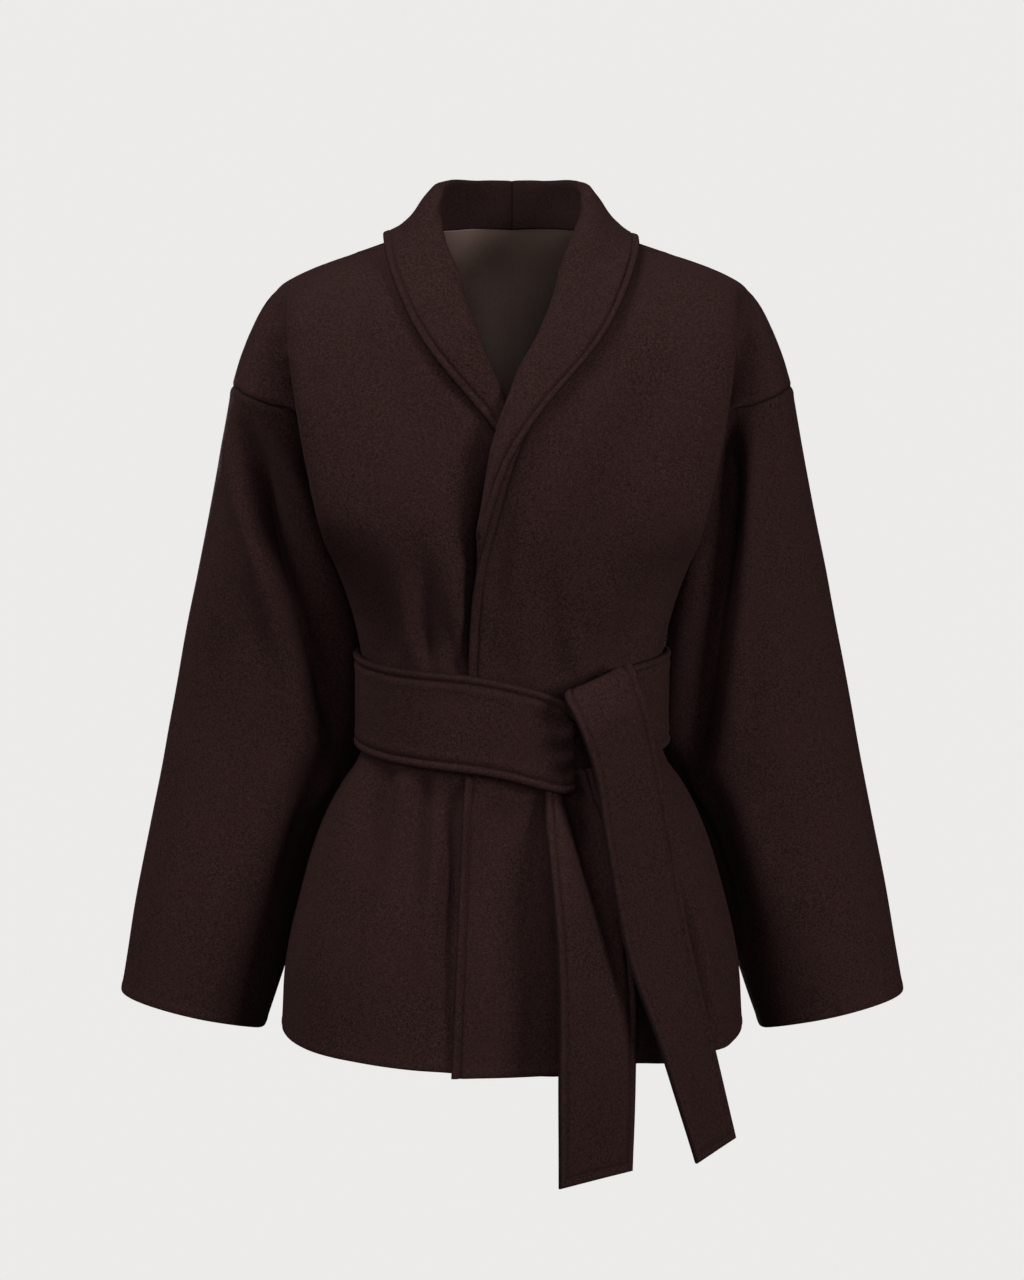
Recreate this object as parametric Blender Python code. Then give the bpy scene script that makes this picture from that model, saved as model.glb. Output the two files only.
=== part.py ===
"""Shawl collar wrap coat in felted wool with a tied belt, hanging as worn on an unseen figure.

The wearer's left is +X, the front faces -Y, +Z is up. The origin is between the shoulders, at the
height where the shoulder seams meet the neck.
"""

from collections import namedtuple

import bmesh
import bpy
import numpy as np

for old in list(bpy.data.objects):
    bpy.data.objects.remove(old)

CLOTH_WALL = 0.0025
COLLAR_WALL = 0.0030
LINING_WALL = 0.0010
BELT_WALL = 0.0040
SEAM_GAP = 0.0004
LAYER_GAP = 0.0006
LINING_GAP = 0.0012
SLEEVE_CLEARANCE = 0.0040

ARMHOLE_ROWS = 12
BODY_ROWS = 18
FRONT_COLUMNS = 18
BACK_COLUMNS = 12
SLEEVE_ROWS = 14
COLLAR_COLUMNS = 14
LINING_TOP_ROW = 0.3
LINING_FIRST_COLUMN = 3
BAND_COLUMNS = 56
BAND_ROWS = 3
TAIL_ROWS = 16
TAIL_COLUMNS = 4

SQUARENESS = 0.05
FLARE_HEIGHT = -0.480
HEM_HEIGHT = -0.690
NECK_BACK = (0.0, 0.062, 0.006)
NECK_MIDWAY = (0.046, 0.048, 0.006)
UNDERARM = (0.150, 0.030, -0.285)

Torso = namedtuple("Torso", "height half_width front back")
TORSO = Torso(*np.transpose((
    (0.010, 0.186, 0.050, 0.066),
    (-0.085, 0.186, 0.090, 0.102),
    (-0.130, 0.182, 0.108, 0.110),
    (-0.190, 0.174, 0.122, 0.115),
    (-0.250, 0.161, 0.126, 0.110),
    (-0.305, 0.146, 0.119, 0.102),
    (-0.352, 0.1325, 0.109, 0.094),
    (-0.406, 0.1280, 0.104, 0.090),
    (-0.452, 0.1325, 0.107, 0.094),
    (-0.482, 0.152, 0.114, 0.106),
    (-0.520, 0.170, 0.122, 0.118),
    (-0.568, 0.1845, 0.131, 0.130),
    (-0.605, 0.194, 0.138, 0.138),
    (-0.645, 0.2005, 0.145, 0.145),
    (-0.720, 0.2030, 0.152, 0.152),
)[::-1]))

Shoulder = namedtuple("Shoulder", "x z")
SHOULDER_Y = 0.006
SHOULDER = Shoulder(*np.transpose((
    (0.0780, 0.0015),
    (0.1080, -0.0105),
    (0.1400, -0.0198),
    (0.1685, -0.0302),
    (0.1880, -0.0390),
    (0.2070, -0.0545),
    (0.2285, -0.0905),
    (0.2420, -0.1320),
)))

Cap = namedtuple("Cap", "edge_z crest_x crest_y crest_z valley_x valley_y valley_z seam_x seam_y seam_z")
FRONT_CAP = (
    Cap(-0.062, 0.189, -0.062, -0.085, 0.189, -0.034, -0.096, 0.2255, -0.047, -0.139),
    Cap(-0.115, 0.184, -0.078, -0.128, 0.179, -0.038, -0.130, 0.2050, -0.053, -0.147),
    Cap(-0.180, 0.174, -0.083, -0.190, 0.170, -0.040, -0.168, 0.1800, -0.045, -0.157),
    Cap(-0.245, 0.161, -0.078, -0.250, 0.160, -0.028, -0.232, 0.1630, -0.012, -0.218),
)
BACK_CAP = (
    Cap(-0.085, 0.182, 0.090, -0.085, 0.204, 0.079, -0.110, 0.229, 0.062, -0.140),
    Cap(-0.130, 0.180, 0.098, -0.130, 0.192, 0.094, -0.142, 0.213, 0.082, -0.156),
    Cap(-0.190, 0.173, 0.100, -0.190, 0.177, 0.094, -0.186, 0.190, 0.088, -0.182),
    Cap(-0.250, 0.162, 0.092, -0.250, 0.165, 0.082, -0.244, 0.168, 0.068, -0.236),
)
SideSeam = namedtuple("SideSeam", "height angle")
SIDE_SEAM = SideSeam(*np.transpose((
    (-0.720, 1.52),
    (-0.452, 1.53),
    (-0.406, 1.57),
    (-0.352, 1.68),
    (-0.305, 1.84),
)))
BODY_HEIGHTS = (-0.305, -0.352, -0.406, -0.452, -0.482, -0.520, -0.568, -0.620, HEM_HEIGHT)
CHEST_SHARE = (0.0, 0.30, 0.58, 0.82, 1.0)
ARMPIT_SHARE = (0.0, 0.30, 0.56, 0.76, 0.87, 0.92, 0.96, 1.0)
HEM_SHARE = (0.0, 0.15, 0.30, 0.45, 0.59, 0.73, 0.87, 1.0)

Edge = namedtuple("Edge", "height x lift")
TOP_EDGE = Edge(*np.transpose((
    (0.002, 0.078, 0.0),
    (-0.062, 0.056, 0.000),
    (-0.115, 0.030, 0.006),
    (-0.180, -0.001, 0.0095),
    (-0.245, -0.0150, 0.0075),
    (-0.280, -0.0225, 0.0050),
    (-0.305, -0.0295, 0.003),
    (-0.352, -0.0355, 0.002),
    (-0.406, -0.0370, 0.002),
    (-0.452, -0.0390, 0.002),
    (-0.703, -0.0497, 0.003),
)[::-1]))
UNDER_EDGE = Edge(*np.transpose((
    (0.002, 0.078, 0.0),
    (-0.062, 0.056, 0.000),
    (-0.115, 0.030, -0.005),
    (-0.180, -0.002, -0.0095),
    (-0.245, -0.0180, -0.008),
    (-0.305, -0.0250, -0.004),
    (-0.352, -0.0300, -0.003),
    (-0.406, -0.0330, -0.003),
    (-0.452, -0.0350, -0.003),
    (-0.702, -0.0450, -0.003),
)[::-1]))
LIFT_REACH = 0.055
PLAIN = np.array((1, 1, 1))
MIRROR = np.array((-1, 1, 1))

Fold = namedtuple("Fold", "angle top bottom deepest depth half_width")
FOLDS = (
    Fold(-0.62, -0.455, -0.600, -0.480, -0.0060, 0.15),
    Fold(-0.98, -0.455, -0.640, -0.490, -0.0050, 0.16),
    Fold(0.95, -0.455, -0.640, -0.490, -0.0055, 0.16),
    Fold(1.30, -0.455, -0.620, -0.485, -0.0040, 0.14),
    Fold(2.60, -0.455, -0.640, -0.490, -0.0060, 0.17),
    Fold(-2.55, -0.455, -0.640, -0.490, -0.0060, 0.17),
    Fold(-0.55, -0.250, -0.355, -0.345, -0.0040, 0.12),
    Fold(0.75, -0.250, -0.355, -0.345, -0.0040, 0.14),
    Fold(2.70, -0.230, -0.355, -0.340, -0.0060, 0.16),
    Fold(-2.70, -0.230, -0.355, -0.340, -0.0060, 0.16),
)

Ring = namedtuple("Ring", "outer_x outer_z inner_x inner_z centre_y half_depth")
SLEEVE = (
    Ring(0.2644, -0.235, 0.1410, -0.318, 0.042, 0.084),
    Ring(0.2895, -0.350, 0.1315, -0.385, 0.054, 0.080),
    Ring(0.3035, -0.422, 0.1310, -0.455, 0.058, 0.080),
    Ring(0.3180, -0.497, 0.1565, -0.530, 0.057, 0.079),
    Ring(0.3325, -0.568, 0.1860, -0.600, 0.050, 0.076),
    Ring(0.3495, -0.662, 0.2185, -0.697, 0.038, 0.066),
)

Lapel = namedtuple("Lapel", "roll_x roll_y roll_z edge_x edge_y edge_z along bulge")
TOP_LAPEL = (
    Lapel(0.0000, 0.060, 0.0460, 0.0000, 0.093, -0.0140, 0.0, 0.02),
    Lapel(0.0320, 0.054, 0.0440, 0.0500, 0.085, -0.0140, 0.5, -0.02),
    Lapel(0.0560, 0.033, 0.0405, 0.0930, 0.056, -0.0120, 0.8, -0.02),
    Lapel(0.0655, 0.004, 0.0350, 0.1085, 0.010, -0.0075, 1.0, -0.06),
    Lapel(0.0585, -0.020, 0.0080, 0.1065, -0.032, -0.0240, 1.17, 0.02),
    Lapel(0.0445, -0.052, -0.0280, 0.0980, -0.062, -0.0520, 1.37, 0.08),
    Lapel(0.0275, -0.088, -0.0770, 0.0737, -0.096, -0.0970, 1.73, 0.12),
    Lapel(-0.0030, -0.118, -0.1430, 0.0250, -0.120, -0.1530, 2.16, 0.14),
    Lapel(-0.0130, -0.128, -0.1780, 0.0010, -0.130, -0.1880, 2.41, 0.14),
    Lapel(-0.0220, -0.135, -0.2360, -0.0110, -0.136, -0.2370, 2.75, 0.14),
    Lapel(-0.0290, -0.131, -0.2800, -0.0245, -0.132, -0.2800, 3.0, 0.14),
)
UNDER_LAPEL = TOP_LAPEL[:7] + (
    Lapel(0.0040, -0.107, -0.1430, 0.0265, -0.108, -0.1520, 2.16, 0.06),
    Lapel(-0.0060, -0.110, -0.1700, 0.0080, -0.110, -0.1750, 2.36, 0.06),
)
COLLAR_TUCK = 0.010
NEAR_PANEL = 0.025
BESIDE_PANEL = 0.010
COLLAR_STATIONS = 24
BREAK_HEIGHT = -0.280

Band = namedtuple("Band", "angle height width standoff")
BELT_WIDTH = 0.082
BAND = Band(*np.transpose((
    (-5.66, -0.408, BELT_WIDTH, 0.0005),
    (-5.20, -0.402, BELT_WIDTH, 0.0010),
    (-4.71, -0.400, BELT_WIDTH, 0.0010),
    (-3.14, -0.400, BELT_WIDTH, 0.0010),
    (-1.57, -0.401, BELT_WIDTH, 0.0010),
    (-0.80, -0.407, BELT_WIDTH, 0.0015),
    (0.00, -0.417, BELT_WIDTH, 0.0060),
    (0.20, -0.425, 0.081, 0.0095),
    (0.29, -0.430, 0.076, 0.0085),
    (0.34, -0.434, 0.066, 0.0050),
)))

Strip = namedtuple("Strip", "x y z turn tilt width")
UPPER_TAIL = (
    Strip(0.0745, -0.1036, -0.4000, 24, 10, 0.034),
    Strip(0.0748, -0.1066, -0.3830, 24, 14, 0.040),
    Strip(0.0715, -0.1240, -0.3750, 26, 20, 0.066),
    Strip(0.0795, -0.1350, -0.3940, 30, 17, 0.067),
    Strip(0.0925, -0.1330, -0.4400, 38, 6, 0.069),
    Strip(0.1030, -0.1300, -0.5000, 44, 0, 0.078),
    Strip(0.1190, -0.1330, -0.5900, 48, 0, 0.082),
    Strip(0.1460, -0.1370, -0.6850, 58, 0, 0.082),
    Strip(0.1685, -0.1400, -0.7670, 63, 0, 0.082),
)
LOWER_TAIL = (
    Strip(0.0460, -0.1134, -0.4480, 8, 0, 0.036),
    Strip(0.0480, -0.1152, -0.4760, 10, 0, 0.042),
    Strip(0.0530, -0.1270, -0.5050, 24, 0, 0.054),
    Strip(0.0610, -0.1440, -0.5500, 32, 0, 0.068),
    Strip(0.0690, -0.1580, -0.6200, 34, 0, 0.078),
    Strip(0.0690, -0.1680, -0.7000, 37, 0, 0.080),
    Strip(0.0680, -0.1700, -0.7820, 40, 0, 0.080),
)


def through(knots, values, at):
    """A smooth curve through the rows of values at rising knots, read at the places `at`."""
    knots = np.asarray(knots, float)
    values = np.asarray(values, float)
    flat = values.reshape(len(knots), -1)
    step = np.diff(knots)[:, None]
    rise = np.diff(flat, axis=0) / step
    slope = np.vstack((rise[:1], rise[:-1], rise[-1:]))[: len(knots)]
    slope[1:-1] = (rise[:-1] * step[1:] + rise[1:] * step[:-1]) / (step[1:] + step[:-1])
    slope[-1] = rise[-1]
    at = np.atleast_1d(at)
    i = np.clip(np.searchsorted(knots, at) - 1, 0, len(step) - 1)
    s = ((at - knots[i]) / step[i, 0])[:, None]
    start = flat[i] + s * step[i] * slope[i]
    bend = 3 * (flat[i + 1] - flat[i]) - step[i] * (2 * slope[i] + slope[i + 1])
    twist = 2 * (flat[i] - flat[i + 1]) + step[i] * (slope[i] + slope[i + 1])
    return (start + s**2 * bend + s**3 * twist).reshape(at.shape + values.shape[1:])


def chord_knots(points):
    """Knots from 0 to 1 spaced by the mean distance between neighbouring rows of points."""
    gaps = np.linalg.norm(np.diff(points, axis=0), axis=-1)
    total = np.cumsum(gaps.reshape(len(gaps), -1).mean(axis=1))
    return np.concatenate(([0.0], total / total[-1]))


def unit(vectors):
    return vectors / np.maximum(np.linalg.norm(vectors, axis=-1, keepdims=True), 1e-9)


def ease(t):
    t = np.clip(t, 0.0, 1.0)
    return t * t * (3 - 2 * t)


def torso_size(column, height):
    return through(TORSO.height, column, np.ravel(height)).reshape(np.shape(height))


def ring(angle, height):
    """A point on the hollow body below the armholes; angle 0 is centre front, positive to +X."""
    angle, height = np.broadcast_arrays(angle, height)
    front = torso_size(TORSO.front, height)
    back_depth = torso_size(TORSO.back, height)
    depth = np.where(np.cos(angle) > 0, front, back_depth)
    square = 1 + SQUARENESS * np.sin(2 * angle) ** 2
    x = torso_size(TORSO.half_width, height) * np.sin(angle) * square
    y = -depth * np.cos(angle) * square
    return np.stack((x, y, height), axis=-1)


def chest_row(cap, start_x, depth):
    """Five points from the panel's inner edge to the fold beside the arm."""
    start = np.arcsin(np.clip(start_x / cap.crest_x, -1, 1))
    theta = start + (np.pi / 2 - start) * np.array(CHEST_SHARE)
    height = cap.edge_z + (cap.crest_z - cap.edge_z) * np.array(CHEST_SHARE)
    facing = np.sign(cap.crest_y)
    bulge = torso_size(depth, height) - abs(cap.crest_y)
    square = 1 + SQUARENESS * np.sin(2 * theta) ** 2
    x = cap.crest_x * np.sin(theta) * square
    y = cap.crest_y + facing * bulge * np.cos(theta)
    return np.stack((x, y, height), axis=-1)


def cap_row(cap, start_x, depth):
    chest = chest_row(cap, start_x, depth)
    valley = np.array((cap.valley_x, cap.valley_y, cap.valley_z))
    seam = np.array((cap.seam_x, cap.seam_y, cap.seam_z))
    arm = valley + (seam - valley) * 0.55
    arm[1] += 0.004 * np.sign(cap.crest_y)
    return np.vstack((chest, valley, arm, seam))


def body_row(height, start_x, start_height, facing):
    """Eight points round the body from the inner edge to the side seam."""
    fall = (height - BODY_HEIGHTS[0]) / (BODY_HEIGHTS[-1] - BODY_HEIGHTS[0])
    share = np.array(ARMPIT_SHARE) * (1 - fall) + np.array(HEM_SHARE) * fall
    side = through(SIDE_SEAM.height, SIDE_SEAM.angle, height)[0]
    start = np.pi
    if facing < 0:
        start = np.arcsin(start_x / torso_size(TORSO.half_width, height))
    angle = start + (side - start) * share
    heights = start_height + (height - start_height) * share
    return ring(angle, heights)


def seam_row():
    return np.stack((SHOULDER.x, np.full(len(SHOULDER.x), SHOULDER_Y), SHOULDER.z), axis=-1)


def slope_row(top, below):
    """The row that rounds over from the shoulder seam to the first row below it."""
    toward_arm = np.linspace(0, 1, len(top))
    sideways = np.full(len(top), 0.5)
    outward = 0.60 + 0.11 * toward_arm
    downward = 0.42 - 0.13 * toward_arm
    return top + (below - top) * np.stack((sideways, outward, downward), axis=-1)


def sample_rows(knots):
    """Row places with the underarm row among them: even above it and even below it."""
    underarm = knots[6]
    upper = np.linspace(0, underarm, ARMHOLE_ROWS + 1)
    return np.concatenate((upper, np.linspace(underarm, 1, BODY_ROWS + 1)[1:]))


def front_grid(edge):
    """Outer surface of a front on the +X side: rows go down, columns go from its edge to its side."""
    upper = []
    for cap in FRONT_CAP:
        edge_x = through(edge.height, edge.x, cap.edge_z)[0]
        upper.append(cap_row(cap, edge_x, TORSO.front))
    lower = []
    for height in BODY_HEIGHTS:
        dip = max(0.0, (height - FLARE_HEIGHT) / (HEM_HEIGHT - FLARE_HEIGHT))
        edge_height = height + (edge.height[0] - HEM_HEIGHT) * dip
        edge_x = through(edge.height, edge.x, edge_height)[0]
        lower.append(body_row(height, edge_x, edge_height, -1))
    lower[0][-1] = UNDERARM
    top = seam_row()
    net = np.array([top, slope_row(top, upper[0])] + upper + lower)
    turned = net.transpose(1, 0, 2)
    places = np.linspace(0, 1, FRONT_COLUMNS + 1)
    down = chord_knots(net)
    grid = through(chord_knots(turned), turned, places).transpose(1, 0, 2)
    grid = through(down, grid, sample_rows(down))
    lift = through(edge.height, edge.lift, grid[:, 0, 2])
    from_edge = (grid[..., 0] - grid[:, :1, 0]) / LIFT_REACH
    amount = lift[:, None] * (1 - ease(from_edge - 0.9))
    return grid + normals(grid, outward=-1) * amount[..., None]


def back_half_grid():
    """Outer surface of the back on the +X side, from the centre line to the side seam."""
    upper = [cap_row(cap, 0.0, TORSO.back) for cap in BACK_CAP]
    lower = [body_row(height, 0.0, height, 1) for height in BODY_HEIGHTS]
    lower[0][-1] = UNDERARM
    seam = seam_row()
    top = np.vstack((NECK_BACK, NECK_MIDWAY, seam[0], seam[2], seam[4:]))
    net = np.array([top, slope_row(top, upper[0])] + upper + lower)
    across = chord_knots(net[1:].transpose(1, 0, 2))
    down = chord_knots(net)
    places = np.linspace(0, 1, BACK_COLUMNS + 1)
    places[np.argmin(abs(places - across[2]))] = across[2]
    rows = [through(across, row, places) for row in net]
    neck = places <= across[2]
    rows[0][neck] = through(across[:3], top[:3], places[neck])
    rows[0][~neck] = through(across[2:], top[2:], places[~neck])
    return through(down, np.array(rows), sample_rows(down))


def normals(grid, outward):
    """Unit normals of a grid of points; outward is 1 where the mean should face +Y, -1 for -Y."""
    along = np.gradient(grid, axis=0)
    across = np.gradient(grid, axis=1)
    found = unit(np.cross(along, across))
    return found if found[..., 1].mean() * outward > 0 else -found


def folded(grid, facing):
    """The grid with the gathers at the belt pressed into it."""
    angle = np.arctan2(grid[..., 0], -grid[..., 1])
    height = grid[..., 2]
    depth = np.zeros_like(height)
    for fold in FOLDS:
        turn = (angle - fold.angle + np.pi) % (2 * np.pi) - np.pi
        across = np.exp(-((turn / fold.half_width) ** 2))
        above = ease((fold.top - height) / (fold.top - fold.deepest))
        below = ease((height - fold.bottom) / (fold.deepest - fold.bottom))
        depth += fold.depth * across * above * below
    return grid + normals(grid, facing) * depth[..., None]


def mirrored(points):
    return points * MIRROR


def drawn_in(grid, sides, distance=SEAM_GAP / 2):
    """The grid with its named sides moved in along the cloth, by half a seam gap unless given."""
    moved = grid.copy()
    if "top" in sides:
        moved[0] += unit(grid[1] - grid[0]) * distance
    if "first" in sides:
        moved[:, 0] += unit(grid[:, 1] - grid[:, 0]) * distance
    if "last" in sides:
        moved[:, -1] += unit(grid[:, -2] - grid[:, -1]) * distance
    return moved


def clear_of(points, panels, clearance):
    """Points pushed out along the nearest panel's normal until they clear it."""
    shape = points.shape
    moved = points.reshape(-1, 3).copy()
    for surface, facing in panels:
        base = surface.reshape(-1, 3)
        out = facing.reshape(-1, 3)
        for i, point in enumerate(moved):
            nearest = np.argmin(((base - point) ** 2).sum(axis=1))
            away = point - base[nearest]
            height = away @ out[nearest]
            beside = np.linalg.norm(away - height * out[nearest])
            if height < clearance and abs(height) < NEAR_PANEL and beside < BESIDE_PANEL:
                moved[i] = point + out[nearest] * (clearance - height)
    return moved.reshape(shape)


def finer(grid, times=4):
    """The same surface with more points, for measuring distances to it."""
    rows, columns = grid.shape[:2]
    grid = through(np.arange(rows), grid, np.linspace(0, rows - 1, (rows - 1) * times + 1))
    across = np.linspace(0, columns - 1, (columns - 1) * times + 1)
    return through(np.arange(columns), grid.transpose(1, 0, 2), across).transpose(1, 0, 2)


def wall(name, outer, inner, material, tube=False):
    """A closed sheet of cloth between two grids of points. A tube's first and last columns are one."""
    rows, columns = outer.shape[:2]
    bm = bmesh.new()
    place = bm.verts.layers.int.new("place")
    bmesh.ops.create_grid(bm, x_segments=columns - 1, y_segments=rows - 1, size=1)
    bm.verts.ensure_lookup_table()
    flat_outer = outer.reshape(-1, 3)
    flat_inner = inner.reshape(-1, 3)
    for i, vert in enumerate(bm.verts):
        vert[place] = i
        vert.co = flat_outer[i]
    if tube:
        bmesh.ops.remove_doubles(bm, verts=bm.verts, dist=1e-6)
    made = bmesh.ops.extrude_face_region(bm, geom=bm.faces[:])
    for part in made["geom"]:
        if isinstance(part, bmesh.types.BMVert):
            part.co = flat_inner[part[place]]
    bmesh.ops.recalc_face_normals(bm, faces=bm.faces)
    mesh = bpy.data.meshes.new(name)
    bm.to_mesh(mesh)
    bm.free()
    mesh.materials.append(material)
    mesh.polygons.foreach_set("use_smooth", [True] * len(mesh.polygons))
    obj = bpy.data.objects.new(name, mesh)
    coat.objects.link(obj)
    return obj


def finish(name, colour, roughness):
    material = bpy.data.materials.new(name)
    material.use_nodes = True
    shader = material.node_tree.nodes["Principled BSDF"]
    shader.inputs["Base Color"].default_value = colour
    shader.inputs["Roughness"].default_value = roughness
    shader.inputs["Metallic"].default_value = 0.0
    return material


def sleeve_grid(armhole):
    """Outer surface of the +X sleeve: rows from the armhole seam to the cuff, columns round it."""
    count = len(armhole)
    lengths = np.linalg.norm(np.diff(armhole, axis=0), axis=1)
    turn = np.concatenate(([0.0], np.cumsum(lengths))) / lengths.sum() * 2 * np.pi
    rows = [armhole]
    for part in SLEEVE:
        outer = np.array((part.outer_x, part.centre_y, part.outer_z))
        inner = np.array((part.inner_x, part.centre_y, part.inner_z))
        middle = (outer + inner) / 2
        reach = (outer - inner) / 2
        depth = np.array((0, -part.half_depth, 0))
        rows.append(middle + np.cos(turn)[:, None] * reach + np.sin(turn)[:, None] * depth)
    net = np.array(rows)
    knots = chord_knots(net)
    grid = through(knots, net, np.linspace(0, 1, SLEEVE_ROWS + 1))
    grid[:, count - 1] = grid[:, 0]
    return grid


def tube_normals(grid):
    """Unit normals of a closed tube, facing away from its middle."""
    wrapped = np.concatenate((grid[:, -2:-1], grid, grid[:, 1:2]), axis=1)
    across = np.gradient(wrapped, axis=1)[:, 1:-1]
    along = np.gradient(grid, axis=0)
    found = unit(np.cross(along, across))
    away = grid - grid[:, :-1].mean(axis=1, keepdims=True)
    return found if (found * away).sum() > 0 else -found


def collar_grid(lapel, front, front_out, half_back, half_back_out):
    """Visible face of a collar half on the +X side.

    Rows run from the centre back to the front end. Columns start inside the neck, rise to the
    roll line, turn over it and fall to the outer edge.
    """
    table = np.array(lapel)
    table = through(table[:, 6], table, np.linspace(0, table[-1, 6], COLLAR_STATIONS + 1))
    corner = np.argmin(abs(half_back[0, :, 0] - SHOULDER.x[0]))
    last = np.argmin(abs(front[:, 0, 2] - BREAK_HEIGHT)) + 1
    neck = slice(0, corner + 1)
    side = slice(0, last)
    along = np.concatenate((
        chord_knots(half_back[0, neck, None])[:-1],
        1 + 2 * chord_knots(front[side, 0, None]),
    ))
    seam = np.concatenate((half_back[0, neck][:-1], front[side, 0]))
    below = np.concatenate((half_back[1, neck][:-1], front[side, 1]))
    facing = np.concatenate((half_back_out[0, neck][:-1], front_out[side, 0]))
    seam, below, facing = (through(along, rows, table[:, 6]) for rows in (seam, below, facing))
    rise = unit(table[:, :3] - seam)
    into = unit(below - seam)
    toward_neck = -facing - into
    toward_neck = unit(toward_neck - (toward_neck * rise).sum(axis=1, keepdims=True) * rise)
    into_wall = np.maximum(0, -(facing * toward_neck).sum(axis=1, keepdims=True)) * CLOTH_WALL
    lapped = seam + toward_neck * (into_wall + SEAM_GAP + COLLAR_WALL)
    tuck = COLLAR_TUCK * (1 - 0.5 * ease(table[:, 6:7] - 1))
    tucked = lapped - rise * tuck
    roll = table[:, :3]
    edge = table[:, 3:6]
    fall = edge - roll
    lift = facing - (facing * unit(fall)).sum(axis=1, keepdims=True) * unit(fall)
    lift = unit(lift) * np.linalg.norm(fall, axis=1, keepdims=True)
    bulge = table[:, 7:8]
    section = np.array((
        tucked,
        lapped,
        lapped + (roll - lapped) * 0.6,
        roll,
        roll + fall * 0.14 + lift * (0.05 + 0.3 * bulge),
        roll + fall * 0.52 + lift * bulge,
        edge,
    ))
    places = np.linspace(0, 1, COLLAR_COLUMNS + 1)
    rows = []
    for line in section.transpose(1, 0, 2):
        rows.append(through(chord_knots(line[:, None]), line, places))
    return np.array(rows)


def band_grid():
    """Outer face of the belt round the waist: rows go up, columns go round."""
    angle = np.linspace(BAND.angle[0], BAND.angle[-1], BAND_COLUMNS + 1)
    centre = through(BAND.angle, BAND.height, angle)
    width = through(BAND.angle, BAND.width, angle)
    standoff = through(BAND.angle, BAND.standoff, angle)
    heights = centre + np.linspace(-0.5, 0.5, 7)[:, None] * BELT_WIDTH
    around = ring(np.broadcast_to(angle, heights.shape), heights)
    widest = np.linalg.norm(around[..., :2], axis=-1).max(axis=0)
    shape = ring(angle, centre)
    direction = unit(shape * np.array((1, 1, 0)))
    front_lift = 0.004 * ease((np.cos(angle) - 0.75) / 0.2)
    radius = widest + front_lift + standoff + LAYER_GAP + BELT_WALL
    rows = []
    for share in np.linspace(-0.5, 0.5, BAND_ROWS + 1):
        row = direction * radius[:, None]
        row[:, 2] = centre + share * width
        rows.append(row)
    grid = np.array(rows)
    return grid, np.broadcast_to(direction, grid.shape)


def strip_grid(table):
    """A hanging belt end: rows go along it, columns across.

    In degrees, turn is its yaw and tilt is how far its +X side is raised.
    """
    table = np.array(table)
    knots = chord_knots(table[:, None, :3])
    table = through(knots, table, np.linspace(0, 1, TAIL_ROWS + 1))
    turn = np.radians(table[:, 3])
    tilt = np.radians(table[:, 4])
    along = unit(np.gradient(table[:, :3], axis=0))
    level = np.cos(tilt)
    across = np.stack((np.cos(turn) * level, np.sin(turn) * level, np.sin(tilt)), axis=-1)
    share = np.linspace(-0.5, 0.5, TAIL_COLUMNS + 1)
    grid = table[:, None, :3] + across[:, None] * share[None, :, None] * table[:, 5][:, None, None]
    out = unit(np.cross(across, along))
    return grid, np.broadcast_to(out[:, None], grid.shape)


def panel(grid, outward):
    """A surface and its normals with enough points to measure distances to it."""
    dense = finer(grid)
    return dense, normals(dense, outward)


coat = bpy.data.collections.new("shawl_collar_coat")
bpy.context.scene.collection.children.link(coat)
wool = finish("wool_melton", (0.026, 0.012, 0.011, 1), 0.9)
satin = finish("lining_satin", (0.030, 0.017, 0.014, 1), 0.45)

# The two fronts are both made on the +X side; the one underneath is mirrored when it is walled.
top_front = folded(front_grid(TOP_EDGE), -1)
under_front = mirrored(folded(mirrored(front_grid(UNDER_EDGE)), -1))
back_half = back_half_grid()
back_half[ARMHOLE_ROWS:, -1] = front_grid(TOP_EDGE)[ARMHOLE_ROWS:, -1]
back = np.concatenate((mirrored(back_half)[:, :0:-1], back_half), axis=1)
back = folded(back, 1)
half_back = back[:, BACK_COLUMNS:]
top_front[ARMHOLE_ROWS:, -1] = back[ARMHOLE_ROWS:, -1]
under_front[ARMHOLE_ROWS:, -1] = mirrored(back[ARMHOLE_ROWS:, 0])
top_out = normals(top_front, -1)
under_out = normals(under_front, -1)
back_out = normals(back, 1)

# The sleeve starts on the armhole: down the front from the shoulder, then up the back.
upward = slice(ARMHOLE_ROWS - 1, None, -1)
front_arm = slice(0, ARMHOLE_ROWS + 1)
back_arm = slice(ARMHOLE_ROWS + 1, None)
sleeve = sleeve_grid(np.concatenate((top_front[front_arm, -1], back[upward, -1])))
sleeve[1:] = clear_of(sleeve[1:], (panel(top_front, -1), panel(half_back, 1)), SLEEVE_CLEARANCE)
sleeve[:, -1] = sleeve[:, 0]
sleeve_out = tube_normals(sleeve)

# Pieces that meet in a seam turn their walls the same way along it.
side = slice(ARMHOLE_ROWS, None)
for front_out, column, turned in ((top_out, -1, PLAIN), (under_out, 0, MIRROR)):
    both = unit(front_out[side, -1] + back_out[side, column] * turned)
    front_out[side, -1] = both
    back_out[side, column] = both * turned
    front_out[front_arm, -1] = unit(front_out[front_arm, -1] + sleeve_out[0, front_arm])
    both = unit(back_out[upward, column] * turned + sleeve_out[0, back_arm])
    back_out[upward, column] = both * turned
    front_out[0, :, 1] = 0
    front_out[0] = unit(front_out[0])
sleeve_out[0, front_arm] = top_out[front_arm, -1]
sleeve_out[0, back_arm] = back_out[upward, -1]
neck_columns = int(np.argmin(abs(back_half[0, :, 0] - SHOULDER.x[0])))
shoulder = abs(np.arange(back.shape[1]) - BACK_COLUMNS) >= neck_columns
back_out[0, shoulder, 1] = 0
back_out[0] = unit(back_out[0])

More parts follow.
